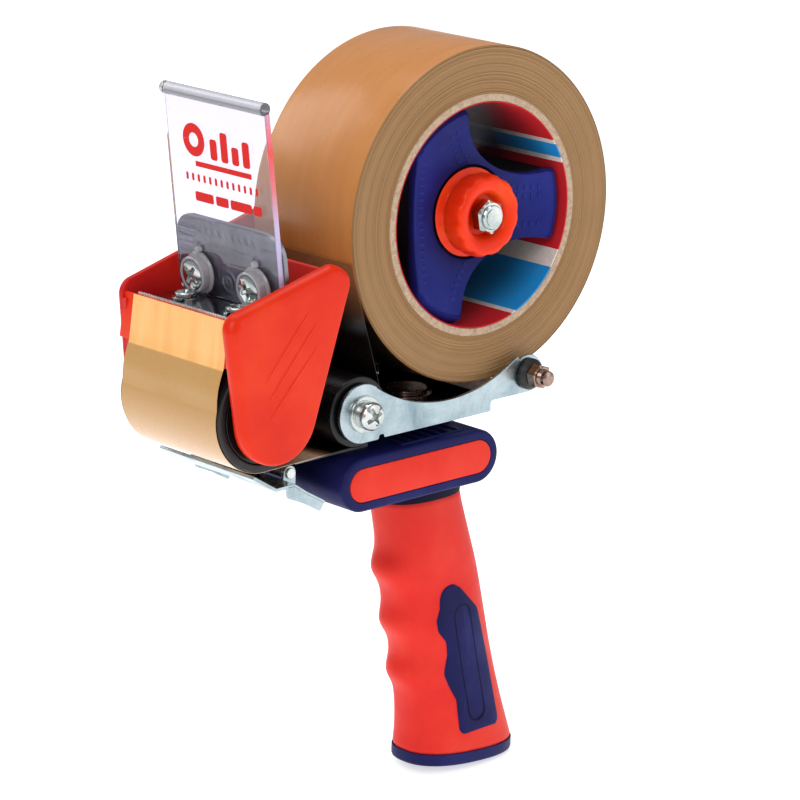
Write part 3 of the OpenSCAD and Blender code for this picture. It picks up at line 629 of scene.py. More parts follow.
def make_tape_roll():
    steps, edge = 64, 0.35
    near = []
    for i in range(steps):
        wave = 0.16 * sin(i * 2.4) * sin(i * 0.7) + 0.08 * sin(i * 5.1)
        near.append((CORE.r + (ROLL.r - CORE.r) * i / steps, ROLL.y0 + 0.25 + wave))
    near += [(ROLL.r - edge, ROLL.y0 + 0.1), (ROLL.r, ROLL.y0 + edge + 0.2)]
    skin = [(ROLL.r, ROLL.y0 + edge + 0.1), (ROLL.r + 0.12, ROLL.y0 + edge + 0.5)]
    for name, half, finish, node in (("wound_tape", near, "side", "tape_roll"),
                                     ("outer_turn", skin, "film", None)):
        far = [(r, -y) for r, y in half[::-1]]
        add_piece(name, lathe(half + far, AXIS, 240), finish, node, "roll", 60)


def make_core():
    r, y0, y1 = CORE.r - 3, CORE.y0 - 0.15, CORE.y1 + 0.15
    ring = fillet(rectangle(r + 0.4, CORE.r - 0.02, y0, y1), 0.35, 3, True)
    liner = [(r, y0 + 0.2), (r + 0.35, y0 + 0.05), (r + 0.35, y1 - 0.05), (r, y1 - 0.2)]
    add_piece("card_core", lathe(ring, AXIS, 180), "card", "tape_core", "roll", 50)
    add_piece("core_liner", lathe(liner, AXIS, 180), "print", None, "roll", 50)


LIP_TOP, LIP_LOW = (-108.1, -18), (-110.5, -33)


def web_line():
    """Middle of the free tape: round the roll and both rollers, free, and up the lip."""
    roll_r, guide_r, front_r = ROLL.r + 0.5, GUIDE.r + 0.35, FRONT.r + 0.35
    (gx, gz), (fx, fz) = GUIDE.c, FRONT.c
    leave = degrees(atan2(gz, gx) - acos((roll_r + guide_r) / hypot(gx, gz)))
    under = degrees(atan2(fz - gz, fx - gx) + acos((guide_r - front_r) / hypot(fx - gx, fz - gz)))
    ex, ez = LIP_LOW[0] - fx, LIP_LOW[1] - fz
    rise = degrees(atan2(ez, ex) + acos(front_r / hypot(ex, ez)))
    wound = arc(AXIS, roll_r, -172, leave, 10)
    wound += arc(GUIDE.c, guide_r, leave + 180, under - 360, 28)
    wound += arc(FRONT.c, front_r, under, rise, 38)
    low, top = (LIP_LOW[0] - 0.22, LIP_LOW[1]), (LIP_TOP[0] - 0.22, LIP_TOP[1] + 0.05)
    free = []
    for t in (0.25, 0.5, 0.75):
        x, z = between(wound[-1], low, t)
        free.append((x - 0.9 * sin(pi * t), z))
    return wound, free, [between(low, top, k / 4) for k in range(5)]


def make_web():
    wound, free, face = web_line()
    line = wound + free + face
    thick, across = 0.14, 14
    rings = []
    for i, (p, d) in enumerate(zip(line, directions(line))):
        loose = 0.25 if len(wound) <= i < len(wound + free) else 0.0
        rows = [], []
        for k in range(across + 1):
            y = ROLL.y1 * (2 * k / across - 1)
            sag = loose * sin(3 * pi * k / across)
            for row, side in zip(rows, (1, -1)):
                off = sag + side * thick / 2
                row.append((p[0] - d.y * off, y, p[1] + d.x * off))
        rings.append(rows[0] + rows[1][::-1])
    add_piece("free_tape", loft(rings), "web", "tape_web", smooth=50)


# ---- Hub and brake --------------------------------------------------------

HUB_ARC_D, HUB_ARC_R, HUB_GAPS = 50.9, 32.9, (56.75, -62.75)
HUB_SEAT_R = 16.0


def hub_radius(a):
    """Radius of the hub's outline: round, less two hollows and a straight front."""
    r = CORE.r - 3.1
    for gap in HUB_GAPS:
        off = (a - radians(gap) + pi) % tau - pi
        side = HUB_ARC_D * sin(off)
        if abs(side) < HUB_ARC_R and cos(off) > 0:
            r = min(r, HUB_ARC_D * cos(off) - sqrt(HUB_ARC_R ** 2 - side ** 2))
    return min(r, HUB.x0 / cos(a)) if cos(a) < 0 else r


def hub_face(r):
    """Y of the hub's dished face at the radius r."""
    return HUB.y0 + 5 - (r / 34.0) ** 2 * 5


def make_hub():
    near, back = HUB.y0, HUB.y1
    rim = around(360, hub_radius)
    rim = [(a + 2 * b + c) / 4 for a, b, c in zip(rim[-1:] + rim, rim, rim[1:] + rim[:1])]

    def ring(radii, ys):
        radii = radii if isinstance(radii, list) else [radii] * len(rim)
        ys = ys if isinstance(ys, list) else [ys] * len(rim)
        angles = around(len(rim), float)
        return [(r * cos(a), y, r * sin(a)) for a, r, y in zip(angles, radii, ys)]

    def edge(pull, arm_pull, drop, arm_drop):
        """The rim pulled in and set back, more where an arm meets the core."""
        radii, ys = [], []
        for r in rim:
            t = min(1.0, max(0.0, (r - CORE.r + 6.6) / 3.2))
            t *= t * (3 - 2 * t)
            radii.append(r - pull - (arm_pull - pull) * t)
            ys.append(hub_face(r - 1) + drop + (arm_drop - drop) * t)
        return ring(radii, ys)

    rings = [ring(11.8, near + 7), ring(12.5, near + 5.6), ring(15.4, near + 5.6),
             ring(HUB_SEAT_R, hub_face(HUB_SEAT_R) + 0.3)]
    for scale in (0.04, 0.15, 0.3, 0.45, 0.6, 0.75, 0.86):
        radii = [HUB_SEAT_R + (r - HUB_SEAT_R) * scale for r in rim]
        rings.append(ring(radii, [hub_face(r) for r in radii]))
    rings += [edge(0.9, 2.8, 0, 0), edge(0.25, 1.0, 0.25, 1.6), edge(0, 0, 0.9, 3.6)]
    ribbed = [r - (0.7 if r > CORE.r - 4.2 and i % 5 < 2 else 0) for i, r in enumerate(rim)]
    inner = [r - 2.5 for r in rim]
    for radii, y in ((ribbed, near + 6.5), (ribbed, back - 6), (rim, back), (inner, back),
                     (inner, near + 8.5), (9.2, near + 8.5), (9, back), (6.1, back),
                     (6.1, near + 11), (11.8, near + 11)):
        rings.append(ring(radii, y))
    add_piece("hub_moulding", loft(rings, True), "hub", "hub", "roll", 38)


def make_hub_marks():
    """Rows of small plain raised bars along the hub's edges."""
    marks = [(HUB.x0 + 3.6, k * 2.5, 0.0) for k in range(-8, 9)]
    for gap, row in ((HUB_GAPS[0], 1), (HUB_GAPS[0], 2), (HUB_GAPS[1], 1)):
        x, z = arc(AXIS, HUB_ARC_D, gap, gap, 1)[0]
        r = HUB_ARC_R + 1.6 + 3.1 * row
        for k in range(-9, 10):
            a = radians(gap + 180 + k * 3.9)
            marks.append((x + r * cos(a), z + r * sin(a), a))
    bars = []
    for x, z, a in marks:
        if 17.5 < hypot(x, z) < 33.5:
            place = Matrix.Translation((x, hub_face(hypot(x, z)) - 0.02, z))
            bars.append(placed(block(-0.95, 0.95, -0.16, 0.3, -0.5, 0.5),
                               place @ Matrix.Rotation(-a, 4, "Y")))
    add_piece("hub_marks", joined(*bars), "hub", None, "roll", bevel=0.12)


def make_knob():
    """Rows are radius, distance from the knob's back or front, and scallop depth."""
    from_back = ((3.1, 0, 0), (11, 0, 0), (11, 0.3, 0), (14.9, 0.3, 0), (15.1, 0.1, 0),
                 (15.1, -0.1, 0), (14.8, -0.3, 0), (14.2, -0.6, 0), (13, -0.8, 0),
                 (12.6, -1.3, 0), (12.9, -1.9, 0.05), (13.7, -2.4, 0.3), (14, -3.2, 0.5),
                 (14.1, -5.5, 0.6))
    from_front = ((14, 3, 0.65), (13.8, 1.8, 0.6), (13.4, 0.9, 0.5), (12.8, 0.3, 0.35),
                  (12.2, 0.05, 0.2), (11.4, 0, 0.1), (10.3, 0.2, 0), (9.2, 0.7, 0),
                  (8.2, 1.5, 0), (7.5, 2.6, 0), (7.1, 4, 0), (6.8, 5.1, 0), (3.1, 5.1, 0))
    lobes = 12

    def ring(r, y, depth):
        sizes = around(288, lambda a: (a, r - depth * (0.5 + 0.5 * cos(lobes * a)) ** 2))
        return [(q * cos(a), y, q * sin(a)) for a, q in sizes]

    rings = [ring(r, KNOB.y1 + y, depth) for r, y, depth in from_back]
    rings += [ring(r, KNOB.y0 + y, depth) for r, y, depth in from_front]
    add_piece("knob_moulding", loft(rings, True), "knob", "brake_knob", "brake_knob", 50)


def hexed(rows):
    """Rings about +Z; a row is height, radius or half the flats, and if it is a hexagon."""
    rings = []
    for z, size, hexagon in rows:
        ring = []
        for i in range(72):
            a = tau * i / 72
            fold = (a + pi / 6) % (pi / 3) - pi / 6
            q = size / cos(fold) if hexagon else size
            ring.append((q * cos(a), q * sin(a), z))
        rings.append(ring)
    return rings


def socket_end(r, height, socket):
    """Rounded bolt end with a shallow hexagonal socket, axis +Z."""
    return loft(hexed([(0, r, 0), (height - 0.5, r, 0), (height - 0.1, r - 0.3, 0),
                       (height, r - 0.9, 0), (height - 0.05, socket, 1),
                       (height - 0.8, socket, 1)]))


def hex_nut(flats, bore, z0, z1):
    """A hexagon nut with chamfered corners, axis +Z."""
    low, high = z0 + flats * 0.055, z1 - flats * 0.055
    return loft(hexed([(z0 + 0.3, bore, 0), (z0, bore + 0.35, 0), (z0, flats * 0.47, 0),
                       (low, flats / 2, 1), (high, flats / 2, 1), (z1, flats * 0.47, 0),
                       (z1, bore + 0.35, 0), (z1 - 0.3, bore, 0)]), True)


def make_spindle():
    near = (0, -1, 0)
    nut = placed(hex_nut(10.4, 3, 0, NUT.y1 - NUT.y0 - 1), facing(0, NUT.y1, 0, near, 8))
    shaft = lathe([(0, BOLT.y0 + 1), (3, BOLT.y0 + 1), (3, BOLT.y1 - 4), (0, BOLT.y1 - 4)],
                  AXIS, 64, True)
    end = placed(socket_end(4.2, 1.0, 2.6), facing(0, NUT.y0 + 1, 0, near, 20))
    head = placed(hex_nut(10, 0.4, 0, 4), facing(0, BOLT.y1 - 4, 0, (0, 1, 0)))
    add_piece("spindle_nut_hex", nut, "screw", "spindle_nut", smooth=28)
    add_piece("spindle_bolt_turned", joined(shaft, end, head), "screw", "spindle_bolt", smooth=30)


def make_brake_coil():
    """Two turns of wire, squeezed between the frame and the sliding washer."""
    b, r, wire, steps = Box("brake_spring"), 8.6, 0.65, 28
    points = []
    for i in range(2 * steps + 1):
        y = b.y0 + wire + (b.y1 - b.y0 - 2 * wire) * i / (2 * steps)
        points.append((r * cos(tau * i / steps), y, r * sin(tau * i / steps)))
    coil = add_piece("brake_coil", sweep(points, wire), "spring", "brake_spring", None, 60)
    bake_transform(coil)


# ---- Steel side frame -----------------------------------------------------

def near_flange():
    """Straight under the roll, round at the guide roller and the rear bolt."""
    rear_r = 6.5
    rear_low = REAR.c[1] - rear_r
    points = fillet([(-46, BASE_Z), (-1, BASE_Z), (-1, rear_low), (REAR.c[0], rear_low)],
                    [0, 0.6, 1.2, 0])[:-1]
    points += arc(REAR.c, rear_r, -90, 124, 26)
    points += arc((-19.5, -3.8), 55.3, -56.2, -124.8, 40)
    points += arc(GUIDE.c, 10, 55, 275, 36)
    notch = [(-51.4, -0.25), (-50.6, -0.2), (-50.2, 1.2), (-48.4, 1.3), (-48, 0)]
    return points + fillet([(x, BASE_Z + z) for x, z in notch], 0.5, 3)


def make_side_frame():
    y0, y1, t = SIDE.y0, SIDE.y1, SHEET_T
    add_piece("near_flange", slab(near_flange(), y0, y0 + t), "zinc", "side_frame", bevel=0.28,
              segments=3)
    section = []
    for y_low, y_high, z, r in ((y0 + 0.02, y1 - 0.02, BASE_Z, 1.9),
                                (y1 - t, y0 + t, BASE_Z + t, 0.5)):
        section += fillet([(y_low, BASE_Z + 5), (y_low, z), (y_high, z), (y_high, BASE_Z + 5)],
                          r, 6)
    add_piece("base_channel", slab(section, -46.3, -1.1, 0), "zinc", bevel=0.2)
    # A thin near black skin on the channel's floor: painted shade under the roll.
    add_piece("base_inner_skin", block(-46.2, -1.2, y0 + t, y1 - t, BASE_Z + t - 0.05,
                                       BASE_Z + t + 0.06), "black_shade")
    # A near black plate behind the flange's step: painted shade in the gap under the roll.
    lip = joined(block(-2.3, -1.1, -24, 27, BASE_Z + t - 0.1, -61),
                 block(-2.3, 14, -24, 27, -62.2, -61))
    add_piece("base_rear_lip", lip, "black_shade", bevel=0.3)
    arms = (("far_plate", 0, [(0, 0, 18), (*GUIDE.c, 10), (-6, SIDE.z0 + 5.3, 5), (34, -46, 6)]),
            ("far_front_arm", 0.02, [(-90, -30, 6), (*FRONT.c, 9), (*GUIDE.c, 10)]))
    for name, gap, discs in arms:
        outline = inset(hull_outline(discs, 20), 0)
        add_piece(name, slab(outline, y1 - t + gap, y1 - gap), "far", bevel=0.28, segments=3)


# ---- Screws and washers ---------------------------------------------------

def pan_screw(r, head_r, head_h, length):
    """Pan head with a cross recess, axis +Z, seated on z = 0."""
    seg = 64
    half, reach = head_r * 0.17, head_r * 0.7

    def cross(scale, sink):
        """One ring of the recess: an arm is reached where the fold is small."""
        out = []
        inner = half * (0.7 + 0.3 * scale)
        for i in range(seg):
            a = tau * i / seg
            fold = (a + pi / 4) % (pi / 2) - pi / 4
            q = min(reach * scale / cos(fold), inner / max(abs(sin(fold)), 1e-6))
            q = max(q, inner * 1.3)
            dome = head_h * (1 - 0.16 * (q / head_r / 0.84) ** 2)
            out.append((q * cos(a), q * sin(a), dome - sink))
        return out

    rows = [(0.01, -length), (r * 0.8, -length), (r, -length + 0.5), (r, 0.0),
            (head_r - 0.15, 0.0), (head_r, 0.2), (head_r, head_h * 0.35),
            (head_r * 0.96, head_h * 0.66), (head_r * 0.84, head_h * 0.84)]
    rings = [around(seg, lambda a: (q * cos(a), q * sin(a), z)) for q, z in rows]
    return loft(rings + [cross(1.0, 0.0), cross(0.94, 0.25), cross(0.55, head_h * 0.62)])


def split_washer(ro, ri, height):
    """A spring washer: a ring with a slanted cut, its ends a little apart."""
    seg, gap, lean = 60, 14, radians(5)
    rings = []
    for i in range(seg + 1):
        a = radians(gap / 2 + (360 - gap) * i / seg)
        lift = 0.25 * (i / seg - 0.5)
        rings.append([(q * cos(a + turn), q * sin(a + turn), z + lift) for q, z, turn in
                      ((ri, 0, 0), (ro, 0, 0), (ro, height, lean), (ri, height, lean))])
    return loft(rings)


def make_guide_screws():
    flat_t, lock_t = 1.2, 1.4
    screws, flats, locks = [], [], []
    for side, turn in ((-1, 24), (1, 63)):
        def at(lift):
            return facing(GUIDE.c[0], side * (SIDE.y1 + lift), GUIDE.c[1], (0, side, 0), turn)
        flat = turned(fillet(rectangle(2.6, 6.2, 0, flat_t), 0.18, 3, True), 64)
        flats.append(placed(flat, at(0)))
        locks.append(placed(split_washer(4.7, 2.6, lock_t), at(flat_t)))
        screws.append(placed(pan_screw(2.5, 4.8, 3.4, 14), at(flat_t + lock_t)))
    add_piece("guide_screw_pair", joined(*screws), "screw", "guide_screws", smooth=35)
    add_piece("guide_flat_washers", joined(*flats), "screw", "guide_washers")
    add_piece("guide_lock_washers", joined(*locks), "screw", "lock_washers", bevel=0.15)


def make_rear_bolt():
    nut, pad, r = Box("rear_nut"), Box("rear_bumper"), 2.8
    y0, y1 = REAR.y0, REAR.y1
    rod = [(0, y0 - 1), (r - 0.7, y0 - 1), (r - 0.2, y0 - 0.6)]
    for i in range(14):
        y = y0 + 0.6 + i * 0.5
        rod += [(r, y), (r - 0.22, y + 0.25)]
    rod += [(r, y1 - 2), (4, y1 - 2), (4.3, y1 - 1.7), (4.3, y1 - 0.8), (3.2, y1), (0, y1)]
    hexagon = placed(hex_nut(7.4, 2.6, 0, nut.y1 - nut.y0),
                     facing(REAR.c[0], nut.y1, REAR.c[1], (0, -1, 0), 12))
    rim = fillet([(2.6, pad.y1), (5.4, pad.y1), (5.4, pad.y0 + 1.6), (4, pad.y0),
                  (2.6, pad.y0)], 1.0, 5, True)
    add_piece("rear_bolt_turned", lathe(rod, REAR.c, 48, True), "bronze", "rear_bolt")
    add_piece("rear_nut_hex", hexagon, "bronze", "rear_nut", smooth=28)
    add_piece("rubber_bumper", lathe(rim, REAR.c, 64), "rubber", "rear_bumper")


def make_rollers():
    sleeve = fillet(rectangle(FRONT.r - 3, FRONT.r, FRONT.y0, FRONT.y1), 0.8, 5, True)
    tube = fillet(rectangle(4.1, GUIDE.r, GUIDE.y0, GUIDE.y1), 0.7, 5, True)
    add_piece("front_rubber", lathe(sleeve, FRONT.c, 128), "rubber", "front_sleeve",
              "front_roller")
    add_piece("guide_tube", lathe(tube, GUIDE.c, 112), "roller", "guide_roller", "guide_roller")


# ---- Guard ----------------------------------------------------------------

NEAR_DISCS = [(-109.1, -19.2, 5.5), (-95.2, -50.7, 15.6), (-71.4, -10.8, 6.4)]
FAR_DISCS = [(-103.9, -19.3, 5.5), (-95.3, -50.7, 12.2), (-64, -44, 5), (-47, -3.4, 5.5)]
RIDGES = [((-101, -38), (-82, -16.5)), ((-100.5, -45), (-79.5, -21.5)),
          ((-100, -51), (-79.5, -29.5))]
CHEEK_Y, CHEEK_T = -29.3, 4.7


def near_cheek():
    """The cheek's rounding reaches further in at its top and front edges."""
    outline = split_long(hull_outline(NEAR_DISCS, 22), 2.0)
    layers = [(CHEEK_Y, inset(outline, 0.35)), (CHEEK_Y - 0.3, inset(outline, 0.0))]
    rings = stacked(layers)[0]
    rings = [rings[:len(outline)], rings[len(outline):]]
    steps = 9
    for i in range(steps + 1):
        a = pi / 2 * i / steps
        ring = []
        for p, n in outline:
            up, front = max(0.0, n[1] * 0.97 - n[0] * 0.24), max(0.0, -n[0])
            q = 1.3 + 3.3 * min(1.0, up ** 1.5 + 0.55 * front ** 2)
            depth = min(q, CHEEK_T - 0.6) * (1 - sin(a))
            into = q * (1 - cos(a))
            ring.append((p[0] - n[0] * into, CHEEK_Y - CHEEK_T + depth, p[1] - n[1] * into))
        rings.append(ring)
    return loft(rings)


def ridge(start, end):
    """A thin raised line on the near cheek."""
    y, length, steps = CHEEK_Y - CHEEK_T, hypot(end[0] - start[0], end[1] - start[1]), 24
    rings = []
    for i in range(steps + 1):
        t = i / steps
        size = sqrt(max(0.02, sin(pi * min(max(t, 0.02), 0.98))))
        w, h = 0.55 * size, 0.42 * size
        ring = [(t * length, y - h * sin(pi * k / 6), w * cos(pi * k / 6)) for k in range(7)]
        rings.append(ring + [(t * length, y + 0.3, -w), (t * length, y + 0.3, w)])
    turn = Matrix.Rotation(-atan2(end[1] - start[1], end[0] - start[0]), 4, "Y")
    return placed(loft(rings), Matrix.Translation((start[0], 0, start[1])) @ turn)


def make_guard():
    ridges = [ridge(*ends) for ends in RIDGES]
    add_piece("near_cheek", joined(near_cheek(), *ridges), "guard", "guard", smooth=50)
    outline = hull_outline(FAR_DISCS, 18)
    y0, y1 = GUARD.y1 - 2.5, GUARD.y1
    rounded = ((y0, 0.6), (y0 + 0.2, 0.2), (y0 + 0.6, 0.0), (y1 - 0.9, 0.0),
               (y1 - 0.35, 0.25), (y1 - 0.1, 0.6), (y1, 1.1))
    cheek = stacked([(y, inset(outline, d)) for y, d in rounded])
    rim = fillet([(-109.3, -20), (-106.6, -20), (-105.2, -50), (-107.4, -50)], 0.4, 3, True)
    # The far cheek takes the guard's darker copy: painted shade.
    add_piece("far_cheek", joined(cheek, slab(rim, y0 - 1.8, y0 + 0.5)), "inner", smooth=50)
    lip = fillet([LIP_TOP, LIP_LOW, (LIP_LOW[0] + 2.5, LIP_LOW[1] - 0.3),
                  (LIP_TOP[0] + 1.1, LIP_TOP[1] - 0.1)], 0.3, 4, True)
    wall = fillet([(-70, -6.5), (-75.6, -26), (-73.6, -26.5), (-68, -7.5)], 0.8, 4, True)
    add_piece("guard_lip", slab(lip, CHEEK_Y - 0.5, y0 + 0.5), "guard")
    # The back wall takes the guard's darker copy too: painted shade.
    add_piece("guard_back_wall", slab(wall, CHEEK_Y - 0.5, y0 + 0.5), "inner")
    screws = [placed(pan_screw(2, 3.8, 2.4, 4.6), facing(x, y1, z, (0, 1, 0), turn))
              for x, z, turn in ((-90, -30, 15), (-70, -42, 40))]
    add_piece("guard_screw_pair", joined(*screws), "screw", "guard_screws", smooth=35)


# ---- Blade, clamp and flap ------------------------------------------------

FLAP_FOOT = (-85.7, -21.8)
FLAP_HOLE_Y, FLAP_HOLE_Z = 14.7, 10.6
FLAP_T = 2.0
BLADE_Z, BLADE_T = -20.3, 0.8
# Local frame of the leaning flap: +Z up its own plane, +X to the rear
LEAN = Matrix.Translation((FLAP_FOOT[0], 0, FLAP_FOOT[1])) @ Matrix.Rotation(radians(-4.9), 4, "Y")


def make_blade():
    """Flat plate with a toothed strip turned up along its front edge."""
    teeth, half, front = 40, BLADE.y1, BLADE.x0
    plate = block(front, BLADE.x1, -half, half, BLADE_Z, BLADE_Z + BLADE_T)
    outline = [(-half + i * half / teeth, BLADE.z1 if i % 2 else -18.2)
               for i in range(2 * teeth + 1)]
    strip = slab(outline + [(half, BLADE_Z), (-half, BLADE_Z)], front, front + BLADE_T, 0)
    add_piece("blade_plate", plate, "blade", "blade", bevel=0.06, segments=1)
    # The teeth take the blade steel's lighter copy: painted highlight.
    add_piece("blade_teeth", strip, "teeth", bevel=0.06, segments=1)


def clamp_push(u, v):
    """How far the clamp's upright is pressed forward at (u, v) across and up it."""
    def dome(u0, v0, r, h):
        return h * exp(-((u - u0) ** 2 + (v - v0) ** 2) / r ** 2)

    out = sum(h * exp(-((hypot(u - 1.5, v - 8.5) - r) / 0.5) ** 2)
              for r, h in ((3.4, 0.3), (1.3, 0.2)))
    out += sum(dome(side * FLAP_HOLE_Y, FLAP_HOLE_Z + 7.6, 1.2, 0.8) for side in (-1, 1))
    return out + sum(dome(-14 + 3.5 * k, 24.4, 0.9, 0.12 + 0.08 * (k % 2)) for k in range(9))


def make_clamp():
    half_w, height, corner, t = 27.3, 28.8, 8.5, 1.5
    nu, nv = 100, 48
    rings = []
    for j in range(nv + 1):
        v = height * j / nv
        w = half_w
        if v > height - corner:
            w -= corner - sqrt(max(0, corner ** 2 - (v - height + corner) ** 2))
        row = [(clamp_push(u, v), u) for u in (w * (2 * i / nu - 1) for i in range(nu + 1))]
        rings.append([(-push, u, v) for push, u in row]
                     + [(t - push, u, v) for push, u in row[::-1]])
    foot = fillet(rectangle(-101, -84.2, -21, 21), [4, 0, 0, 4], 6, True)
    add_piece("clamp_upright", placed(loft(rings), LEAN), "bracket", "flap_clamp")
    add_piece("clamp_foot", slab(foot, FLAP_FOOT[1], BLADE_Z - 0.02, 2), "bracket", bevel=0.25)


def make_flap():
    half, t, low, high, r = FLAP.y1, FLAP_T, 2.6, 70.7, 2.15
    sheet = slab(fillet(rectangle(-half, half, low, high - 1), [2.2, 2.2, 0, 0], 6, True),
                 -t, 0.0, 0)
    side = fillet(rectangle(-t + 0.1, -0.1, low + 2.4, high - 1.6), 0.3, 3, True)
    bead = fillet([(0, -half), (r, -half), (r, -half + 2)], 0.6, 5)
    bead += [(r - 0.06 * (k % 2), -half + 3 + k) for k in range(2 * int(half) - 5)]
    bead += fillet([(r, half - 2), (r, half), (0, half)], 0.6, 5)
    add_piece("clear_flap_sheet", placed(sheet, LEAN), "clear", "flap", bevel=0.3, segments=3)
    add_piece("flap_side_edge", placed(slab(side, -half - 0.12, -half + 0.3), LEAN), "edge")
    add_piece("flap_bead", placed(lathe(bead, (-1.4, high), 40, True), LEAN), "bead", smooth=30)


def make_flap_print():
    """A plain red pictogram: a roll, bars, a rule and a dotted line."""
    outlines = [arc((12, 55.2), 5.6, 0, 359.5, 64) + arc((12, 55.2), 2.4, 359.5, 0, 64)]

    def bar(y, z, w, h, r=0.0, n=4):
        outlines.append(fillet([(y, z), (y - w, z), (y - w, z + h), (y, z + h)], r, n, True))

    bar(12, 46.4, 29, 1.8)
    for k, h in enumerate((7.0, 10.0, 6.0, 8.6)):
        bar(3.6 - 5.6 * k, 49.8, 3.6, h, 1.0)
    for k in range(13):
        bar(17.6 - 3 * k, 41.2, 1.2, 2.6, 0.5, 3)
    for y, w in ((13.6, 9.5), (2.8, 6.5), (-4.8, 11), (-16.7, 4)):
        bar(y, 34.6, w, 3.2, 0.7)
    marks = [slab(outline, -FLAP_T - 0.08, -FLAP_T - 0.05, 0) for outline in outlines]
    add_piece("flap_print", placed(joined(*marks), LEAN), "ink")


def make_clamp_screws():
    screws, bosses, nuts = [], [], []
    boss = [(2.1, 0), (7.1, 0), (7.2, 0.4), (6.9, 0.9), (6.4, 1.1), (6.3, 2.6), (6.15, 3.7),
            (5.8, 4.0), (5.3, 3.9), (5.1, 3.5), (5.1, 2.6), (2.1, 2.6)]
    nub = [(0.01, 0), (1.2, 0), (1.1, 1.0), (0.8, 1.6), (0.01, 1.8)]
    for side, turn in ((-1, 20), (1, 52)):
        def here(x, dy=0.0, dz=-0.7):
            y = side * FLAP_HOLE_Y + dy
            return LEAN @ facing(x, y, FLAP_HOLE_Z + dz, (-1, 0, 0), 0 if dy else turn)
        bosses += [placed(turned(boss), here(-FLAP_T)),
                   placed(turned(nub, 24), here(-FLAP_T, -0.6, 7.4))]
        screws.append(placed(pan_screw(2, 5.0, 1.9, 10.2), here(-4.6)))
        nuts.append(placed(hex_nut(7, 2, -3.2, 0), here(1.5)))
    add_piece("flap_screw_pair", joined(*screws), "screw", "flap_screws", smooth=35)
    add_piece("flap_stepped_bosses", joined(*bosses), "boss", "flap_washers", smooth=35)
    add_piece("flap_hex_nuts", joined(*nuts), "screw", "flap_nuts", smooth=28)


def make_blade_screws():
    screws, washers, nuts = [], [], []
    top = BLADE_Z + BLADE_T
    for side, turn in ((-1, 10), (1, 41)):
        def here(z):
            return facing(-96, side * 13.5, z, (0, 0, 1), turn)
        washers.append(placed(split_washer(4.5, 2.1, 0.8), here(top)))
        screws.append(placed(pan_screw(2, 3.8, 2.0, 8.2), here(top + 0.8)))
        nuts.append(placed(hex_nut(7, 2, -3.2, 0), here(FLAP_FOOT[1] - 1.5)))
    add_piece("blade_screw_pair", joined(*screws), "screw", "blade_screws", smooth=35)
    add_piece("blade_lock_washers", joined(*washers), "screw", "blade_washers", bevel=0.12)
    add_piece("blade_hex_nuts", joined(*nuts), "screw", "blade_nuts", smooth=28)


# ---- Tape retainer --------------------------------------------------------

def make_retainer():
    half, (cx, cz) = 25.0, PIN.c
    low_bend, tip = (-77.6, -80.9), (-69.8, -85.6)
    line = [(-99.3, -71.6), (-90, -77.6), (-82.5, -77.4), low_bend, tip]
    sheet = slab(ribbon(fillet(line, 1.6, 5), 1.2), -half, half)
    flange = [(-85.5, -77.4), (-82.5, -77.4), low_bend, tip, (-71.8, -88.4), (-78.5, -84.5),
              (-85, -81.5)]
    ear = arc(PIN.c, 2.6, 0, 180, 16) + [(-82.6, -77.6), (-77.2, -81)]
    wings = [slab(shape, side * y - 0.7, side * y + 0.7)
             for shape, y in ((flange, half - 0.7), (ear, 18.3)) for side in (-1, 1)]
    add_piece("retainer_sheet", joined(sheet, *wings), "zinc", "retainer_plate", "retainer",
              bevel=0.25)
    r, steps, turns, reach = 1.9, 22, 8, 4.2
    points = [(cx + r + 8.5, -reach, cz + 2.6), (cx + r + 1.0, -reach, cz + 0.9)]
    for i in range(steps * turns + 1):
        a = -tau * i / steps
        y = reach * (2 * i / (steps * turns) - 1)
        points.append((cx + r * cos(a), y, cz + r * sin(a)))
    add_piece("torsion_spring", sweep(points, 0.4, 8), "spring", "retainer_spring", smooth=60)


# ---- Handle ---------------------------------------------------------------

COLLAR_R = 9.2
PANEL_R = COLLAR_R - 3.35


def obround(r):
    """Collar section of radius r, anticlockwise."""
    z = COLLAR.z0 + COLLAR_R
    return (arc((COLLAR.x0 + COLLAR_R, z), r, 90, 270, 24)
            + arc((COLLAR.x1 - COLLAR_R, z), r, -90, 90, 24))


def make_collar():
    y0, y1, top = COLLAR.y0, COLLAR.y1, COLLAR.z0 + 2 * COLLAR_R
    rows = ((1.2, PANEL_R), (0.25, PANEL_R), (0, PANEL_R + 0.25), (0, COLLAR_R - 1.1),
            (0.14, COLLAR_R - 0.65), (0.5, COLLAR_R - 0.2), (1.1, COLLAR_R))
    layers = [(y0 + y, obround(r)) for y, r in rows]
    layers += [(-y, outline) for y, outline in layers[::-1]]
    pad = fillet(rectangle(-45.5, -3, -13, 13), 2.0, 5, True)
    add_piece("collar_moulding", stacked(layers), "blue", "collar_body", smooth=42)
    add_piece("collar_pad", slab(pad, top - 1, BASE_Z - 0.02, 2), "blue")
    panels = []
    for side in (-1, 1):
        rows = ((-1.1, 0.12), (-0.2, 0.12), (-0.02, 0.22), (0.08, 0.5))
        panels.append(stacked([(side * (y1 + y), obround(PANEL_R - d)) for y, d in rows]))
    add_piece("collar_inset_panels", joined(*panels), "panel", "collar_panels")


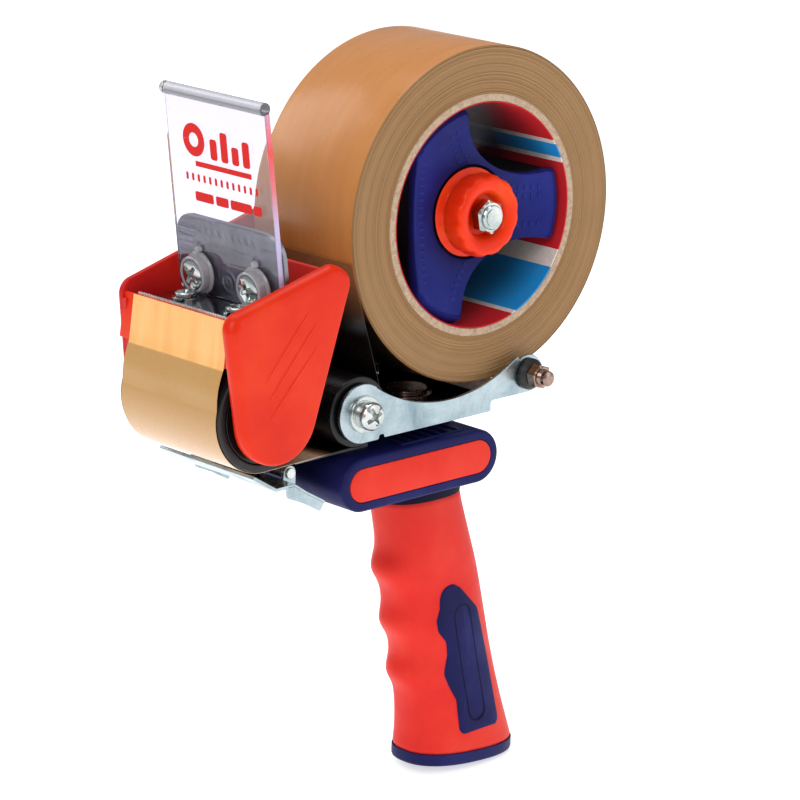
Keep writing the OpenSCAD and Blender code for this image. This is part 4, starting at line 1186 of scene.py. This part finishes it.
def make_collar_slots():
    """A near black floor, painted shade in the slots, under a comb of ribs, which leaves six open
    slots.
    """
    x0, pitch, width, y0, y1 = -35.6, 4.3, 2.2, -25.5, -15.5
    top = COLLAR.z0 + 2 * COLLAR_R
    patch = rectangle(x0 - 0.6, x0 + 5.6 * pitch, y0 - 0.6, y1 + 0.6)
    floor = slab(fillet(patch, 1.0, 4, True), top - 0.3, top + 0.06, 2)
    spans = [(x0 + pitch * i + width - pitch, x0 + pitch * i, y0, y1) for i in range(7)]
    spans += [(x0 - 2.1, x0 + 5.5 * pitch + 1.9, y, y + 1.1) for y in (y0 - 1.1, y1)]
    ribs = [block(*span, top - 0.2, top + 0.45) for span in spans]
    add_piece("collar_slot_floor", floor, "shade_navy")
    add_piece("collar_ribs", joined(*ribs), "blue", bevel=0.2)


# Rows of the grip: height, middle, and half its length and half its width
GRIP_ROWS = [(-100, -9.6, 16.7, 12), (-105, -8.6, 16.8, 12), (-115, -6.5, 17.4, 12.3),
             (-128, -4.1, 18.5, 12.8), (-145, -0.8, 18.6, 13), (-160, 1.9, 18.8, 13.2),
             (-176, 4.7, 19.8, 13.8), (-186, 6.4, 21.4, 14.5), (-192.8, 7.2, 23, 15)]
GRIP_LOW, FLARE_Z = -192.8, -176
GRIP_BUMPS, BUMP_H, BUMP_W = (-125, -145.2, -164), 3.4, 5.2
BASE_FRONT, BASE_TILT = -16.4, radians(3.7)
GRIP_POWER = 2.4


def grip_at(z, k):
    """Column k of the grip's rows at height z, by a smooth curve."""
    last = len(GRIP_ROWS) - 1
    i = min(sum(z < row[0] for row in GRIP_ROWS[1:]), last - 1)
    p0, p1, p2, p3 = (GRIP_ROWS[min(max(j, 0), last)] for j in range(i - 1, i + 3))
    span = p2[0] - p1[0]
    t = (z - p1[0]) / span
    m1 = (p2[k] - p0[k]) / (p2[0] - p0[0]) * span
    m2 = (p3[k] - p1[k]) / (p3[0] - p1[0]) * span
    return ((2 * t ** 3 - 3 * t * t + 1) * p1[k] + (t ** 3 - 2 * t * t + t) * m1
            + (3 * t * t - 2 * t ** 3) * p2[k] + (t ** 3 - t * t) * m2)


def grip_ring(z, count, grow=0.0):
    """The grip's section, with finger bumps in front, tilted towards its base."""
    bump = sum(exp(-((z - b) / BUMP_W) ** 2) for b in GRIP_BUMPS) * BUMP_H
    tilt = tan(BASE_TILT) * max(0.0, (FLARE_Z - z) / (FLARE_Z - GRIP_LOW))

    def point(a):
        c, s = cos(a), sin(a)
        k = (abs(c) ** GRIP_POWER + abs(s) ** GRIP_POWER) ** (-1 / GRIP_POWER)
        x = grip_at(z, 1) + (grip_at(z, 2) + grow) * k * c - (bump * c * c if c < 0 else 0.0)
        return (x, (grip_at(z, 3) + grow) * k * s, z - tilt * (x - BASE_FRONT))

    return around(count, point)


def make_grip():
    count = 96
    rings = [grip_ring(GRIP.z1 + (GRIP_LOW - GRIP.z1) * i / count, 120,
                       -0.5 if i in (0, count) else 0.0) for i in range(count + 1)]
    add_piece("grip_moulding", loft(rings), "grip", "grip", smooth=50)


INSERT_OUTLINE = [
    (-3.8, -131.2), (-8, -132.8), (-9, -136.2), (-9, -139.8), (-10.3, -143.9), (-9.4, -148.1),
    (-6.2, -152.1), (-5.8, -156.9), (-7.2, -163.9), (-4.9, -169.2), (-2.2, -174.3),
    (-1.3, -185.6), (0.1, -187.1), (16.1, -186.9), (17, -184.6), (13.7, -163.3), (10, -147.8),
    (8.6, -142.7), (5.4, -139.4), (-0.2, -133.4)]


def on_grip(outline, side, lift):
    """An (x, z) outline laid on the grip's side, lifted off it."""
    out = []
    for x, z in outline:
        u = min(1.0, abs(x - grip_at(z, 1)) / grip_at(z, 2))
        y = grip_at(z, 3) * (1 - u ** GRIP_POWER) ** (1 / GRIP_POWER)
        out.append((x, side * (y + lift), z))
    return out


def make_insert(side, name, node):
    """A blue panel that follows the grip's side, with a thin near black line round its middle,
    painted shade of a groove.
    """
    outline = fillet(INSERT_OUTLINE, 4.0, 5, True)
    cx, cz = 3.0, -160.0
    rings = []
    for scale, lift in ((1.0, -0.8), (1.0, 0.15), (0.985, 0.42), (0.95, 0.5), (0.85, 0.5),
                        (0.7, 0.5), (0.55, 0.5), (0.4, 0.5), (0.25, 0.5), (0.1, 0.5)):
        tall = scale if scale < 0.9 else 1 - (1 - scale) * 0.45
        rings.append(on_grip([(cx + (x - cx) * scale, cz + (z - cz) * tall)
                              for x, z in outline], side, lift))
    line = []
    a, b, r = (0.6, -143.5), (6.4, -179.5), 3.9
    lean = degrees(atan2(b[1] - a[1], b[0] - a[0]))
    for width, lift in ((0.0, 0.4), (0.05, 0.56), (0.45, 0.56), (0.5, 0.4)):
        path = arc(a, r - width, lean + 90, lean + 270, 16)
        path += arc(b, r - width, lean - 90, lean + 90, 16)
        dense = []
        for p, q in zip(path, path[1:] + path[:1]):
            parts = max(1, int(hypot(q[0] - p[0], q[1] - p[1]) / 3))
            dense += [between(p, q, k / parts) for k in range(parts)]
        line.append(on_grip(dense, side, lift))
    add_piece(name, loft(rings), "blue", node)
    add_piece(name + "_line", loft(line, True), "shade_navy")


def make_handle_parts():
    rows = ((0, -0.6), (-0.05, 0.2), (-3.3, 0.2), (-4.0, -0.1), (-4.4, -0.7), (-4.5, -1.4))
    rings = [[(x, y, GRIP_LOW + z) for x, y, _ in grip_ring(GRIP_LOW, 120, grow)]
             for z, grow in rows]
    pivot = Vector((BASE_FRONT, 0, GRIP_LOW))
    turn = Matrix.Rotation(BASE_TILT, 4, "Y")
    turn = Matrix.Translation(pivot) @ turn @ Matrix.Translation(-pivot)
    add_piece("end_cap", placed(loft(rings), turn), "blue", "base_cap", smooth=45)
    z0, z1 = GRIP.z1, NECK.z1
    rows = ((z0 + 0.05, 0.1), (z0 + 2.6, 0.35), (z0 + 3.0, -0.7), (z1 - 1.2, -1.0),
            (z1 - 0.3, 0.6), (z1 + 0.4, 1.6))
    rings = [[(x, y, z) for x, y, _ in grip_ring(z0, 96, grow)] for z, grow in rows]
    # The neck ring takes the near black blue: painted shade under the collar.
    add_piece("neck_moulding", loft(rings), "shade_navy", "neck_ring")
    screws = [placed(pan_screw(2.5, 4.6, 2.8, 13),
                     facing(-38, 9 * side, BASE_Z + SHEET_T, (0, 0, 1), 30 * side))
              for side in (-1, 1)]
    add_piece("frame_screw_pair", joined(*screws), "screw", "frame_screws", smooth=35)


CAD_SHAPES = [  # piece, node, body, finish, and how far its edges are rounded
    ("spindle_sleeve", "spindle_tube", "frame", "screw", 0.2),
    ("spindle_far_washer", "spindle_washer", "frame", "screw", 0.2),
    ("felt_washer", "friction_washer", "frame", "felt", 0.15),
    ("brake_plate", "brake_washer", "frame", "screw", 0.15),
    ("thrust_plate", "thrust_washer", "brake_slide", "screw", 0.15),
    ("roller_bracket", "front_bracket", "frame", "bracket", 0.25),
    ("front_core", "front_roller", "front_roller", "roller", 0.3),
    ("front_shaft", "front_axle", "frame", "screw", 0.25),
    ("guide_shaft", "guide_axle", "frame", "screw", 0.2),
    ("retainer_hinge_pin", "retainer_pin", "retainer", "screw", 0.2),
    ("retainer_strip", "retainer_bracket", "frame", "bracket", 0.25),
    ("strip_screws", "bracket_screws", "frame", "screw", 0.15),
    ("cap_screw", "base_screw", "frame", "screw", 0.15),
    ("handle_bolt_low", "handle_bolt", "frame", "bronze", 0.4),
    ("handle_plain_washer", "handle_washer", "frame", "bronze", 0.2),
    ("handle_hidden_nut", "handle_nut", "frame", "screw", 0.3)]


# ---- Camera, light and floor ----------------------------------------------

def add_object(name, data):
    item = bpy.data.objects.new(name, data)
    bpy.context.scene.collection.objects.link(item)
    return item


def make_camera():
    data = bpy.data.cameras.new("camera")
    data.sensor_width, data.lens = 36, 173.3
    data.clip_start, data.clip_end = 0.05, 20
    camera = add_object("camera", data)
    right, up = Vector((0.7584, -0.6518, -0.0067)), Vector((0.1801, 0.1996, 0.9632))
    back = right.cross(up).normalized()
    up = back.cross(right).normalized()
    rotation = Matrix((right, up, back)).transposed().to_4x4()
    camera.matrix_world = Matrix.Translation((-0.8366, -0.9588, 0.2860)) @ rotation
    bpy.context.scene.camera = camera


def add_light(name, place, size, power, colour=(1, 1, 1)):
    """A soft rectangular light aimed at the middle of the tool."""
    data = bpy.data.lights.new(name, "AREA")
    data.shape = "RECTANGLE"
    data.size, data.size_y = size
    data.energy, data.color = power, colour
    light = add_object(name, data)
    light.location = place
    aim = Vector((-0.03, 0, -0.06)) - Vector(place)
    light.rotation_euler = aim.to_track_quat("-Z", "Y").to_euler()


def make_studio():
    mesh = bpy.data.meshes.new("floor")
    corners = [(x, y, CAP.z0 * MM) for x, y in rectangle(-6, 6, -6, 6)]
    mesh.from_pydata(corners, [], [(0, 1, 2, 3)])
    m = Material("pale_floor")
    m.set(Base_Color=m.ramp(m.noise(3, 4), (0.3, (0.86, 0.86, 0.86, 1)), (0.7, (0.9, 0.9, 0.9, 1))),
          Roughness=0.7, Specular_IOR_Level=0.2, Emission_Color=(1, 1, 1, 1),
          Emission_Strength=0.62)
    mesh.materials.append(m.mat)
    add_object("floor", mesh)
    world = bpy.data.worlds.new("studio")
    bpy.context.scene.world = world
    world.use_nodes = True
    sky = world.node_tree.nodes["Background"].inputs
    sky["Color"].default_value = (0.95, 0.96, 1, 1)
    sky["Strength"].default_value = 0.4
    add_light("key_light", (-1.2, -0.9, 1.1), (0.9, 0.9), 9.5, (1, 0.98, 0.95))
    add_light("fill_light", (0.9, -1.3, 0.5), (1.0, 1.2), 4.5, (0.96, 0.98, 1))
    add_light("top_light", (0.1, 0.2, 1.5), (1.2, 1.2), 11)
    add_light("rim_light", (-0.5, 1.3, 0.8), (0.7, 0.9), 5)
    bpy.context.scene.view_settings.view_transform = "Standard"


make_camera()
make_studio()
for make in (make_tape_roll, make_core, make_web, make_hub, make_hub_marks, make_knob,
             make_spindle, make_brake_coil, make_side_frame, make_guide_screws, make_rear_bolt,
             make_rollers, make_guard, make_blade, make_clamp, make_flap, make_flap_print,
             make_clamp_screws, make_blade_screws, make_retainer, make_collar,
             make_collar_slots, make_grip, make_handle_parts):
    make()
for sides in ((-1, "near_side_insert", "near_insert"), (1, "far_side_insert", "far_insert")):
    make_insert(*sides)
for cad_shape in CAD_SHAPES:
    add_cad_shape(*cad_shape)
